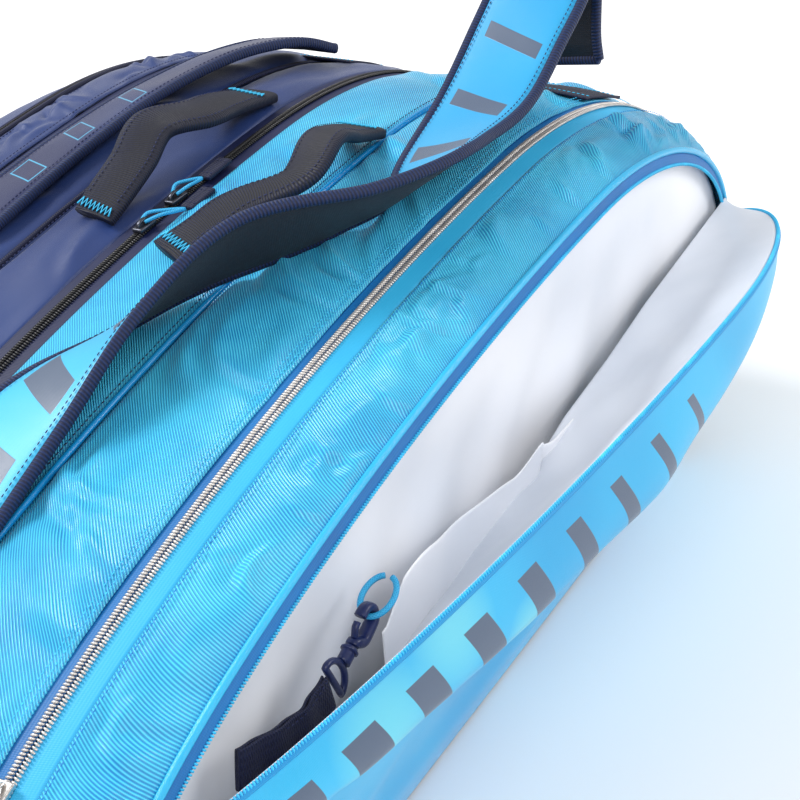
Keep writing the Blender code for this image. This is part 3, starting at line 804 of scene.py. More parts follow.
# --------------------------------------------------------- the bag's outline
@dataclass(frozen=True)
class Outline:
    """The long outline of the bag and how it narrows towards the sides."""
    half_length: float = 0.390
    crest_x: float = 0.154
    crest_z: float = 0.300
    side_z: float = 0.176
    near_power: float = 1.66
    far_power: float = 2.04
    base_near: float = -0.300
    base_far: float = 0.290

    def shrink(self, y: Array | float) -> tuple[Array, Array]:
        """How far the outline has drawn in at side distance y: (x, z)."""
        d = (np.abs(y) / 0.18) ** 6
        return 0.015 * d, 0.006 * d

    def stations(self, count: int, low: float = 0.0, high: float = 1.0) -> dict[str, Array]:
        """Evenly spaced places round the outline, from near base to far base.

        Args:
            count: how many.
            low: where to start, as a share of the whole outline.
            high: where to stop, as a share of the whole outline.

        Returns:
            The numbers from which at() finds a place at any side distance.
        """
        t = np.linspace(0, math.pi / 2, 1500)
        cols = []
        for kind in range(4):
            power = (2.2, self.near_power, self.far_power, 2.2)[kind]
            turn = t if kind < 2 else t[::-1]
            c = np.maximum(np.cos(turn), 0) ** (2 / power)
            s = np.maximum(np.sin(turn), 0) ** (2 / power)
            start = (self.base_near, self.crest_x, self.crest_x, self.base_far)[kind]
            sign = -1.0 if kind < 2 else 1.0
            reach = s if kind in (0, 3) else c
            low_z = self.side_z * (1 - c) if kind in (0, 3) else np.full_like(c, self.side_z)
            lift = np.zeros_like(c) if kind in (0, 3) else s
            cols.append(np.stack([np.full_like(c, start), np.full_like(c, sign), reach, low_z, lift], 1))
        table = np.concatenate(cols)
        info = dict(start=table[:, 0], sign=table[:, 1], reach=table[:, 2], low=table[:, 3],
                    lift=table[:, 4])
        p = self.at(info, np.zeros(len(table)))
        run = np.concatenate([[0], np.cumsum(np.hypot(*np.diff(p, axis=0).T))])
        want = np.linspace(low * run[-1], high * run[-1], count)
        pick = np.clip(np.searchsorted(run, want), 0, len(run) - 1)
        out = {key: value[pick] for key, value in info.items()}
        crest = run[np.argmax(p[:, 1])]
        out["run"] = run[pick] - crest
        return out

    def at(self, info: dict[str, Array], y: Array) -> Array:
        """(x, z) of stations at side distances y."""
        dx, dz = self.shrink(y)
        x = info["start"] + (info["sign"] * (self.half_length - dx) - info["start"]) * info["reach"]
        z = info["low"] + (self.crest_z - self.side_z - dz) * info["lift"]
        return np.stack([x, z], -1)

    def top_z(self, x: Array | float, y: Array | float) -> Array:
        """Height of the top surface over (x, y)."""
        dx, dz = self.shrink(y)
        far = np.asarray(x) > self.crest_x
        length = np.where(far, self.half_length - self.crest_x, self.half_length + self.crest_x) - dx
        power = np.where(far, self.far_power, self.near_power)
        t = np.minimum(np.abs(np.asarray(x) - self.crest_x) / length, 1.0)
        return self.side_z + (self.crest_z - self.side_z - dz) * (1 - t ** power) ** (1 / power)

    def end_x(self, z: Array, y: float, far: bool) -> Array:
        """Where the outline at side distance y stands at height z."""
        dx, dz = self.shrink(y)
        end = self.half_length - dx
        z = np.asarray(z, float)
        power = self.far_power if far else self.near_power
        t = np.clip((z - self.side_z) / (self.crest_z - self.side_z - dz), 0, 1)
        length = end - self.crest_x if far else end + self.crest_x
        high = self.crest_x + (1 if far else -1) * length * (1 - t ** power) ** (1 / power)
        low_t = np.clip(1 - z / self.side_z, 0, 1)
        base = self.base_far if far else self.base_near
        low = base + ((end if far else -end) - base) * (1 - low_t ** 2.2) ** (1 / 2.2)
        return np.where(z >= self.side_z, high, low)


@dataclass(frozen=True)
class Side:
    """One side of the bag: right has sign -1, left has sign +1."""
    tag: str
    sign: int
    zip_y: float
    rim_y: float
    foot_y: float

    def edge_y(self, z: Array) -> Array:
        """Signed side distance of the gusset's outer edge at height z."""
        t = np.clip(np.asarray(z) / (0.75 * 0.190), 0, 1)
        return self.sign * (self.foot_y + (self.rim_y - self.foot_y) * t * t * (3 - 2 * t))


OUTLINE = Outline()
RIGHT = Side("right", -1, 0.166, 0.222, 0.190)
LEFT = Side("left", 1, 0.128, 0.184, 0.160)
HINGE_Z = 0.190


@dataclass(frozen=True)
class Fold:
    """A soft ridge in cloth: place, direction in degrees, reach, width, height."""
    s: float
    y: float
    turn: float
    reach: float
    width: float
    height: float


def folds(s: Array, y: Array, ridges: Sequence[Fold]) -> Array:
    """Height of a set of ridges, each with a shallow valley beside it."""
    total = np.zeros_like(s)
    for r in ridges:
        a = math.radians(r.turn)
        along = (s - r.s) * math.cos(a) + (y - r.y) * math.sin(a)
        across = -(s - r.s) * math.sin(a) + (y - r.y) * math.cos(a) + 0.25 * along ** 2 / r.reach
        fade = np.exp(-(along / r.reach) ** 2)
        total += r.height * fade * (np.exp(-(across / r.width) ** 2)
                                    - 0.7 * np.exp(-((across - 1.7 * r.width) / (1.2 * r.width)) ** 2))
    return total


def scattered(seed: int, count: int, s_range: tuple[float, float], y_range: tuple[float, float],
              turn: tuple[float, float], reach: tuple[float, float], width: tuple[float, float],
              height: tuple[float, float]) -> list[Fold]:
    """Folds spread over a panel from a fixed seed."""
    rng = np.random.default_rng(seed)
    spans = (s_range, y_range, turn, reach, width, height)
    return [Fold(*(float(rng.uniform(*span)) for span in spans)) for _ in range(count)]


@dataclass
class WallStrip:
    """A strip of the bag's side wall between two side distances."""
    name: str
    y_start: Callable[[Array], Array]
    y_stop: Callable[[Array], Array]
    lift: float = 0.0
    crown: float = 0.0
    rows: int = 420
    columns: int = 24
    low: float = 0.0
    high: float = 1.0

    def grid(self, relief: Optional[Callable[[Array, Array, Array], Array]] = None) -> tuple[Array, Array]:
        """The strip's points and cloth coordinates.

        Args:
            relief: height above the wall from running length, side distance and share across.

        Returns:
            Points and cloth coordinates, each rows by columns.
        """
        info = OUTLINE.stations(self.rows, self.low, self.high)
        z0 = OUTLINE.at(info, np.zeros(self.rows))[:, 1]
        share = np.linspace(0, 1, self.columns)[None, :]
        a, b = self.y_start(z0)[:, None], self.y_stop(z0)[:, None]
        y = a + (b - a) * share
        wide = {k: np.repeat(v[:, None], self.columns, 1) for k, v in info.items()}
        xz = OUTLINE.at(wide, y)
        grid = np.stack([xz[..., 0], y, xz[..., 1]], -1)
        n = normals_of(grid)
        if np.mean(n[self.rows // 2, :, 2]) < 0:
            n = -n
        height = self.lift + self.crown * np.sin(math.pi * share) ** 0.55 * np.ones_like(y)
        if relief is not None:
            height = height + relief(wide["run"], y, share * np.ones_like(y))
        floor = np.clip(grid[..., 2] / 0.02, 0, 1)
        grid = grid + n * (height * floor)[..., None]
        grid[..., 2] = np.maximum(grid[..., 2], 0.0004)
        return grid, np.stack([wide["run"], y], -1)

    def build(self, look: Finish, relief: Optional[Callable[[Array, Array, Array], Array]] = None,
              thick: float = 0.0014) -> bpy.types.Object:
        """Make the strip as cloth whose outer face looks out of the bag."""
        grid, uv = self.grid(relief)
        middle = normals_of(grid)[self.rows // 2]
        return cloth_sheet(self.name, grid, uv, look, thick, flip=bool(np.mean(middle[:, 2]) < 0))


def wall_track(y: float | Callable[[Array], Array], above: float, count: int = 700,
               low: float = 0.0, high: float = 1.0) -> Track:
    """A path round the bag at a side distance, raised off the wall."""
    info = OUTLINE.stations(count, low, high)
    z0 = OUTLINE.at(info, np.zeros(count))[:, 1]
    yy = y(z0) if callable(y) else np.full(count, float(y))
    xz = OUTLINE.at(info, yy)
    points = np.stack([xz[:, 0], yy, xz[:, 1]], 1)
    points = points[points[:, 2] > 0.0035]
    count = len(points)
    d = np.gradient(points, axis=0)
    d /= np.linalg.norm(d, axis=1, keepdims=True)
    side = np.tile([0.0, 1.0, 0.0], (count, 1))
    side -= d * np.sum(side * d, axis=1, keepdims=True)
    side /= np.linalg.norm(side, axis=1, keepdims=True)
    up = np.cross(d, side)
    return Track(points + up * above, side, up)


def level(value: float) -> Callable[[Array], Array]:
    """A side distance that doesn't change with height."""
    return lambda z: np.full_like(z, value)


def swung(points: Array, side: Side, degrees: float) -> Array:
    """Points turned outwards about a pocket flap's hinge line."""
    turn = math.radians(degrees)
    c, s = math.cos(turn), math.sin(turn)
    base = side.sign * side.rim_y
    dy, dz = points[..., 1] - base, points[..., 2] - HINGE_Z
    out = points.copy()
    out[..., 1] = base + dy * c + side.sign * dz * s
    out[..., 2] = HINGE_Z + dz * c - side.sign * dy * s
    return out


def rim_track(side: Side, aside: float, above: float, count: int = 360) -> Track:
    """The upper edge of a pocket opening, moved outwards and off the wall."""
    whole = wall_track(side.sign * side.rim_y, above, 1600)
    keep = whole.points[:, 2] - whole.up[:, 2] * above >= HINGE_Z + 0.0006
    pts = whole.points[keep] + np.array([0.0, side.sign * aside, 0.0])
    return Track(pts, whole.side[keep], whole.up[keep]).spread(count)


# ------------------------------------------------------------ sub-assemblies
@dataclass
class MainPanels:
    """The two top panels between the middle zip and the compartment zips."""
    seam: float = 0.081
    tape_gap: float = 0.0105
    crown: float = 0.0022

    def relief(self, side: Side, ridges: Sequence[Fold]) -> Callable[[Array, Array, Array], Array]:
        """Height of the panel: crowned between its seams, dipped at them, with folds."""
        seam = self.seam if side.sign < 0 else self.seam * 0.8
        edge = side.zip_y - 0.0085

        def height(s: Array, y: Array, share: Array) -> Array:
            """Height over the wall."""
            d = np.abs(y)
            inner = np.clip((d - self.tape_gap) / (seam - self.tape_gap), 0, 1)
            outer = np.clip((d - seam) / (edge - seam), 0, 1)
            puff = 0.0035 * np.sin(math.pi * inner) ** 0.6 + 0.0050 * np.sin(math.pi * outer) ** 0.6
            dip = -0.0036 * np.exp(-((d - seam) / 0.0034) ** 2)
            calm = np.clip((d - self.tape_gap) / 0.012, 0, 1) * np.clip((edge - d) / 0.006, 0, 1)
            calm *= 1 - 0.7 * np.exp(-((d - seam) / 0.006) ** 2)
            edge_roll = 0.0014 * np.exp(-((d - edge) / 0.0022) ** 2)
            slow = 0.0012 * np.sin(s * 31 + y * 40) + 0.0009 * np.sin(s * 57 - y * 75 + 1.0)
            return puff + dip + edge_roll + calm * (folds(s, y, ridges) + slow)
        return height

    def build(self) -> None:
        """Make both panels with their piping and stitching."""
        ridges = scattered(11, 54, (-0.62, 0.45), (-0.158, -0.086), (15, 75), (0.016, 0.042),
                           (0.0030, 0.0070), (0.0016, 0.0044))
        ridges += scattered(12, 30, (-0.62, 0.45), (-0.078, -0.016), (10, 70), (0.014, 0.035),
                            (0.004, 0.009), (0.0012, 0.0030))
        right = WallStrip("right_top_cloth", level(-self.tape_gap), level(-(RIGHT.zip_y - 0.0085)),
                          rows=560, columns=64).build(CYAN_RIB, self.relief(RIGHT, ridges))
        attach(right, "bag_right", "cyan_ribbed", "top_panel_right")
        ridges = scattered(21, 34, (-0.62, 0.45), (0.016, 0.115), (-60, 10), (0.02, 0.05),
                           (0.005, 0.010), (0.0008, 0.0024))
        left = WallStrip("left_top_cloth", level(self.tape_gap), level(LEFT.zip_y - 0.0085),
                         rows=460, columns=44).build(NAVY_CLOTH, self.relief(LEFT, ridges))
        attach(left, "bag_left", "navy_smooth", "top_panel_left")
        for side, body, slot, look, thread in ((RIGHT, "bag_right", "cyan_ribbed", SEAM_PIPING, NAVY_THREAD),
                                               (LEFT, "bag_left", "navy_smooth", NAVY_BAND, NAVY_THREAD)):
            seam = side.sign * (self.seam if side.sign < 0 else self.seam * 0.8)
            bead = wall_track(seam, 0.0008, 520).tube(f"{side.tag}_seam_piping", look, 0.0019, 0.0019, 10)
            attach(bead, body, slot)
            line = wall_track(seam - side.sign * 0.0042, 0.0022)
            row = bead_row(f"{side.tag}_seam_stitches", line, 0.0036, (0.0027, 0.0008, 0.0006), thread)
            attach(row, body, slot)
            for k, inset in enumerate((0.0105, 0.0135)):
                line = wall_track(side.sign * (side.zip_y - inset), 0.0031 + 0.0006 * k)
                tone = CYAN_THREAD if side.sign < 0 else NAVY_THREAD
                row = bead_row(f"{side.tag}_edge_stitches_{k}", line, 0.0034, LONG_STITCH, tone)
                attach(row, body, slot)
        LOG.info("top panels done")


@dataclass
class ZipLine:
    """A closed zip round the bag: two tapes and two rows of coil."""
    name: str
    y: float
    bodies: tuple[str, str]
    nodes: tuple[str, str]
    slot: str
    tapes: tuple[Finish, Finish]
    coil: Finish
    reach: tuple[float, float] = (0.0095, 0.0155)
    pitch: float = 0.0019

    def build(self) -> None:
        """Make each half on its own body; the first half is nearer the middle of the bag."""
        outward_sign = 1 if self.y > 0 or (self.y == 0 and "left" in self.bodies[1]) else -1
        for k, sign in enumerate((-outward_sign, outward_sign)):
            tag = ("inner", "outer")[k]
            start, stop = self.y + sign * 0.0005, self.y + sign * self.reach[k]
            strip = WallStrip(f"{self.name}_tape_{tag}", level(start), level(stop), lift=0.0002,
                              rows=300, columns=6)
            attach(strip.build(self.tapes[k], thick=0.0009), self.bodies[k], self.slot, self.nodes[k])
            line = wall_track(self.y + sign * 0.00185, 0.0011)
            row = bead_row(f"{self.name}_coil_{tag}", line, self.pitch, (0.00160, 0.0044, 0.0020),
                           self.coil, skew=14.0 * sign, start=0.0005 + 0.5 * self.pitch * k)
            attach(row, self.bodies[k], self.slot)
        LOG.info("zip %s done", self.name)


@dataclass
class Gusset:
    """The outer band between a compartment zip and its pocket's rim."""
    side: Side
    look: Finish
    slot: str
    thread: Finish
    seed: int

    def build(self) -> None:
        """Make the band, its seam stitching and the stitching along the rim."""
        s, tag = self.side.sign, self.side.tag
        inner = self.side.zip_y + 0.0148
        lo, hi = sorted((s * (inner + 0.004), s * (self.side.rim_y - 0.006)))
        ridges = scattered(self.seed, 76, (-0.62, 0.45), (lo, hi), (-10, 80), (0.007, 0.020),
                           (0.0022, 0.0052), (0.0010, 0.0030))

        def height(run: Array, y: Array, share: Array) -> Array:
            """Height over the wall."""
            calm = np.sin(math.pi * np.clip(share * 0.96 + 0.02, 0, 1)) ** 0.5
            roll = 0.0012 * np.exp(-(share / 0.07) ** 2)
            slow = 0.0008 * np.sin(run * 70 + y * 60)
            return 0.0030 * np.sin(math.pi * share) ** 0.6 + roll + calm * (folds(run, y, ridges) + slow)

        strip = WallStrip(f"{tag}_gusset_cloth", level(s * inner), self.side.edge_y, rows=620, columns=26)
        cloth = strip.build(self.look, height)
        body = f"wall_{tag}"
        attach(cloth, body, self.slot, f"outer_gusset_{tag}")
        row = bead_row(f"{tag}_gusset_stitches_0", wall_track(s * (inner + 0.0028), 0.0030), 0.0034,
                       LONG_STITCH, self.thread)
        attach(row, body, self.slot)
        row = bead_row(f"{tag}_rim_stitches", rim_track(self.side, -0.0045, 0.0022), 0.0034,
                       LONG_STITCH, self.thread)
        attach(row, body, self.slot)
        LOG.info("gusset %s done", tag)


@dataclass
class Pocket:
    """One accessory pocket: rim, zip edges, outer cloth, lining and inner wall."""
    side: Side
    opened: float
    outer: Finish
    lining: Finish
    slot: str
    piping: Finish
    coil: Finish
    tape: Finish
    depth: float = 0.050
    zip_gap: float = 0.0074
    columns: int = 200
    creases: tuple = ()
    ridges: list = field(default_factory=list)

    def closed_rim(self) -> Track:
        """The flap's edge while its zip is closed."""
        return rim_track(self.side, self.zip_gap, 0.0)

    def flap_point(self, edge: Array, share: float, top: float) -> Array:
        """Points of the closed flap at a share of its height above the hinge."""
        h = edge[:, 2] - HINGE_Z
        bulge = min(1.0, 1.25 * math.sin(math.pi * min(1 - share, 0.5) ** 0.62)) if share < 1 else 0.0
        swell = self.depth * np.sqrt(np.maximum(h, 0) / top) * bulge * (0.8 + 0.2 * share)
        swell = swell * (1 - 0.78 * np.clip((edge[:, 0] - 0.03) / 0.26, 0, 1) ** 1.2)
        y = edge[:, 1] + self.side.sign * swell
        return np.stack([edge[:, 0], y, HINGE_Z + h * share], 1)

    def outer_cloth(self) -> bpy.types.Object:
        """The pocket's outer cloth from the flap's edge down to the base."""
        s = self.side.sign
        edge = self.closed_rim().points
        pick = np.linspace(0, len(edge) - 1, self.columns)
        edge = np.stack([np.interp(pick, np.arange(len(edge)), edge[:, k]) for k in range(3)], 1)
        top = float(np.max(edge[:, 2]) - HINGE_Z)
        rows = [swung(self.flap_point(edge, share, top), self.side, self.opened)
                for share in (1.0, 0.93, 0.82, 0.66, 0.48)]
        u = np.linspace(0, 1, self.columns)
        for z in (0.098, 0.066, 0.034, 0.0012):
            t = z / 0.132
            out = 0.018 * math.sin(math.pi * t) + 0.009 * t
            a = float(OUTLINE.end_x(np.array(z), self.side.rim_y, False)) + 0.006
            b = float(OUTLINE.end_x(np.array(z), self.side.rim_y, True)) - 0.006
            fade = 1 - np.abs(2 * u - 1) ** 4
            y = self.side.edge_y(np.array(z)) + s * (0.0045 + out * fade)
            rows.append(np.stack([a + (b - a) * u, y, np.full_like(u, z)], 1))
        controls = np.stack(rows)
        dense = np.stack([curve_through(controls[:, k], 84) for k in range(self.columns)], 1)
        down = np.concatenate([np.zeros((1, self.columns)),
                               np.cumsum(np.linalg.norm(np.diff(dense, axis=0), axis=2), axis=0)])
        along = np.broadcast_to(edge[:, 0][None, :], down.shape)
        n = normals_of(dense)
        if np.mean(n[20, :, 1]) * s < 0:
            n = -n
        raised = folds(along, down, self.ridges)
        raised = raised * np.clip(down / 0.012, 0, 1) * np.clip((0.22 - down) / 0.02, 0, 1)
        dense = dense + n * raised[..., None]
        dense[..., 2] = np.maximum(dense[..., 2], 0.0004)
        uv = np.stack([along, down], -1)
        flip = bool(np.mean(normals_of(dense)[20, :, 1]) * s < 0)
        return cloth_sheet(f"{self.side.tag}_pocket_cloth", dense, uv, self.outer, 0.0012, flip)

    def lining_cloth(self) -> bpy.types.Object:
        """The flap's lining, from its edge in to the crease at the inner wall."""
        s = self.side.sign
        edge = self.closed_rim().points
        pick = np.linspace(0, len(edge) - 1, self.columns)
        edge = np.stack([np.interp(pick, np.arange(len(edge)), edge[:, k]) for k in range(3)], 1)
        top = swung(edge - np.array([0.0, s * 0.0010, 0.0012]), self.side, self.opened)
        crease_z = np.interp(edge[:, 0], [c[0] for c in self.creases], [c[1] for c in self.creases])
        crease_z = np.minimum(crease_z, HINGE_Z + (edge[:, 2] - HINGE_Z) * 0.6)
        bottom = np.stack([edge[:, 0], np.full(self.columns, s * (self.side.rim_y + 0.0035)), crease_z], 1)
        deep = bottom + np.array([0.0, s * 0.001, -0.012])
        t = np.linspace(0, 1, 40)[:, None, None]
        body = top[None] * (1 - t) + bottom[None] * t
        reach = np.linalg.norm(top - bottom, axis=1)[None, :]
        sag = -0.11 * reach * np.sin(math.pi * t[..., 0]) ** 0.9
        sag = sag * (1 - 0.9 * np.clip((edge[:, 0][None, :] - 0.06) / 0.16, 0, 1))
        x = body[..., 0]
        slack = 0.0022 * np.sin(x * 42 + 6 * t[..., 0]) * np.sin(math.pi * t[..., 0])
        slack += 0.0012 * np.sin(x * 97 - 9 * t[..., 0]) * np.sin(math.pi * t[..., 0])
        calm = np.minimum(reach / 0.05, 1) * (1 - 0.8 * np.clip((x - 0.12) / 0.12, 0, 1))
        body[..., 2] += sag + slack * calm
        grid = np.concatenate([body, deep[None]])
        down = np.concatenate([np.zeros((1, self.columns)),
                               np.cumsum(np.linalg.norm(np.diff(grid, axis=0), axis=2), axis=0)])
        uv = np.stack([np.broadcast_to(edge[:, 0][None, :], down.shape), down], -1)
        flip = bool(np.mean(normals_of(grid)[15, :, 2]) < 0)
        return cloth_sheet(f"{self.side.tag}_flap_lining", grid, uv, self.lining, 0.0006, flip)

    def inner_wall(self) -> bpy.types.Object:
        """The slack satin wall between the pocket and the compartment."""
        s = self.side.sign
        rows, columns = 90, 190
        crest = OUTLINE.crest_z - float(OUTLINE.shrink(self.side.rim_y)[1]) - 0.0042
        z = 0.008 + (crest - 0.008) * np.sin(np.linspace(0, math.pi / 2, rows))
        grid = np.zeros((rows, columns, 3))
        for j, zz in enumerate(z):
            a = float(OUTLINE.end_x(np.array(zz), self.side.rim_y, False)) + 0.0045
            b = float(OUTLINE.end_x(np.array(zz), self.side.rim_y, True)) - 0.0045
            x = np.linspace(a, b, columns)
            dish = np.maximum(0, 1 - ((x + 0.02) / 0.36) ** 2) * max(0.0, 1 - ((zz - 0.12) / 0.14) ** 2)
            slack = 0.0020 * np.sin(x * 33 + zz * 60) * dish
            slack += 0.0016 * np.sin(x * 75 - zz * 45 + 1.0) * dish
            slack += folds(x, np.full_like(x, zz), self.ridges[:14]) * 0.7 * dish
            y = self.side.edge_y(np.array(zz)) - s * (0.0026 + 0.010 * dish - slack)
            grid[j] = np.stack([x, y, np.full_like(x, zz)], 1)
        uv = np.stack([grid[..., 0], grid[..., 2]], -1)
        flip = bool(np.mean(normals_of(grid)[..., 1]) * s < 0)
        return cloth_sheet(f"{self.side.tag}_inner_wall_cloth", grid, uv, WHITE_SATIN, 0.0008, flip)

    def build(self) -> None:
        """Make the pocket's pieces and hang the inner wall, rim piping and zip edges on their bodies; the
        outer cloth and the flap's lining are left unattached.
        """
        tag, s = self.side.tag, self.side.sign
        wall, flap = f"wall_{tag}", f"flap_{tag}"
        rim = s * self.side.rim_y
        cloth = self.outer_cloth()
        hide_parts(f"pocket_flap_{tag}", f"pocket_lower_{tag}")
        turn = math.radians(self.opened)
        high = (0.0, rim + s * (0.052 * math.cos(turn) + 0.05 * math.sin(turn)),
                HINGE_Z + 0.035 * math.cos(turn) - 0.052 * math.sin(turn))
        rim + s * 0.018
        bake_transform(cloth)
        LOG.info("pocket cloth %s done", tag)
        if self.opened > 1:
            lining = self.lining_cloth()
            middle = self.closed_rim().points[180]
            tip = swung(middle[None], self.side, self.opened)[0]
            rim + s * 0.006
            float(tip[1]) - s * 0.03
            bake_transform(lining)
        attach(self.inner_wall(), wall, "white_lining", f"inner_wall_{tag}")
        bead = rim_track(self.side, 0.0010, 0.0012).tube(f"{tag}_rim_piping", self.piping, 0.0022,
                                                         0.0022, 12)
        attach(bead, wall, self.slot)
        self.fixed_edge(wall)
        self.moving_edge(flap)

    def fixed_edge(self, body: str) -> None:
        """The half of the zip that stays on the bag: a tape that falls to its coil."""
        tag, s = self.side.tag, self.side.sign
        drop = 0.0075 if self.opened > 1 else 0.0010
        reach = 0.0020 if self.opened > 1 else 0.0044
        top = rim_track(self.side, 0.0016, -0.0004)
        low = rim_track(self.side, 0.0016 + reach, -drop)
        share = np.linspace(0, 1, 6)[:, None, None]
        grid = top.points[None] * (1 - share) + low.points[None] * share
        uv = np.stack(np.broadcast_arrays(top.length[None, :], share[..., 0] * 0.008), -1)
        flip = bool(np.mean(normals_of(grid)[3, :, 1]) * s < 0)
        # On the right the tape takes the darker INNER_TAPE as painted shade for the shadow under the rim's
        # piping.
        tape = cloth_sheet(f"{tag}_rim_tape", grid, uv, INNER_TAPE if s < 0 else self.tape, 0.0007, flip)
        attach(tape, body, "zip_tape_blue", f"pocket_zip_fixed_{tag}")
        row = bead_row(f"{tag}_rim_coil", low, 0.0018, POCKET_COIL, self.coil, skew=12.0)
        attach(row, body, "zip_tape_blue")

    def moving_edge(self, body: str) -> None:
        """The half of the zip on the flap: coil, tape and a stitched turn-over."""
        tag, s = self.side.tag, self.side.sign

        def at(aside: float, above: float) -> Track:
            """A path along the flap's edge."""
            track = rim_track(self.side, self.zip_gap + aside, above)
            turned = swung(track.points, self.side, self.opened)
            zero = np.array([0.0, s * self.side.rim_y, HINGE_Z])
            return Track(turned, swung(track.side + zero, self.side, self.opened) - zero,
                         swung(track.up + zero, self.side, self.opened) - zero)

        row = bead_row(f"{tag}_flap_coil", at(-0.0004, 0.0006), 0.0018, POCKET_COIL, self.coil,
                       skew=-12.0)
        attach(row, body, "zip_tape_blue", f"pocket_zip_moving_{tag}")
        bar = at(0.0016, -0.0012).tube(f"{tag}_flap_edge_roll", self.tape, 0.0018, 0.0026, 12)
        attach(bar, body, "zip_tape_blue")
        for k, drop in enumerate((0.0042, 0.0062)):
            out = 0.0060 + 0.0035 * k
            line = at(out * 0.9, -drop)
            row = bead_row(f"{tag}_flap_stitches_{k}", line, 0.0032, SHORT_STITCH, CYAN_THREAD)
            attach(row, body, self.slot)


@dataclass
class Strap:
    """A padded shoulder strap: printed face, dark underside and bound edges."""
    tag: str
    route: tuple
    lean: tuple
    width: float
    face: Finish
    thick: float = 0.0062
    steps: int = 190
    across: int = 15

    def track(self) -> Track:
        """The strap's middle line with its frame."""
        pts = np.array([(x, y, float(OUTLINE.top_z(min(x, 0.30), y)) + h) for x, y, h in self.route])
        path = curve_through(pts, self.steps)
        tilt = np.radians(curve_through([(a, 0, 0) for a in self.lean], self.steps)[:, 0])
        ahead = np.gradient(path, axis=0)
        ahead /= np.linalg.norm(ahead, axis=1, keepdims=True)
        side = np.array([0.0, 1.0, 0.0]) - ahead * ahead[:, 1:2]
        side /= np.linalg.norm(side, axis=1, keepdims=True)
        up = np.cross(ahead, side)
        c, s = np.cos(tilt)[:, None], np.sin(tilt)[:, None]
        return Track(path, side * c + up * s, up * c - side * s)

    def layer(self, name: str, look: Finish, top: bool) -> bpy.types.Object:
        """The printed face or the underside, crowned over the foam."""
        t = self.track()
        share = np.linspace(-1, 1, self.across)
        half = self.width / 2 - 0.0022
        crown = np.sqrt(np.maximum(0, 1 - share ** 4)) * (self.thick / 2) + 0.0004
        run = t.length
        end = np.clip(np.minimum(run, run[-1] - run) / 0.010, 0.25, 1) ** 0.5
        quilt = 0.0005 * np.sin(run * 95)[:, None] * (1 - share ** 2)[None, :]
        lift = (crown[None, :] * end[:, None] + quilt) * (1 if top else -1)
        grid = t.points[:, None] + t.side[:, None] * (share * half)[None, :, None]
        grid = grid + t.up[:, None] * lift[..., None]
        uv = np.stack(np.broadcast_arrays(run[:, None], (share * half)[None, :]), -1)
        return cloth_sheet(name, grid, uv, look, 0.0016, flip=not top)

    def build(self, body: str, slot: str) -> None:
        """Make the strap's layers, its binding and its stitching."""
        face = self.layer(f"{self.tag}_strap_face", self.face, True)
        attach(face, body, slot, f"strap_{self.tag}")
        under = self.layer(f"{self.tag}_strap_underside", DARK_PAD, False)
        attach(under, body, "charcoal_lining")
        t = self.track()
        for sign, word in ((-1, "low"), (1, "high")):
            edge = t.shifted(aside=sign * (self.width / 2 - 0.0030))
            bind = edge.tube(f"{self.tag}_strap_binding_{word}", NAVY_BIND, 0.0030, 0.0034, 12, 0.8)
            attach(bind, body, "navy_webbing")
            line = t.shifted(aside=sign * (self.width / 2 - 0.0075), above=self.thick / 2 + 0.0004)
            row = bead_row(f"{self.tag}_strap_stitches_{word}", line, 0.0036, LONG_STITCH,
                           NAVY_THREAD)
            attach(row, body, "navy_webbing")
        for k, at in enumerate((0, -1)):
            a = t.points[at] - t.side[at] * (self.width / 2 - 0.003)
            b = t.points[at] + t.side[at] * (self.width / 2 - 0.003)
            cap = track_of(np.linspace(a, b, 12), t.up[at])
            bar = cap.tube(f"{self.tag}_strap_end_{k}", NAVY_BIND, 0.0032, 0.0036, 12, 0.8)
            attach(bar, body, "navy_webbing")
        LOG.info("strap %s done", self.tag)


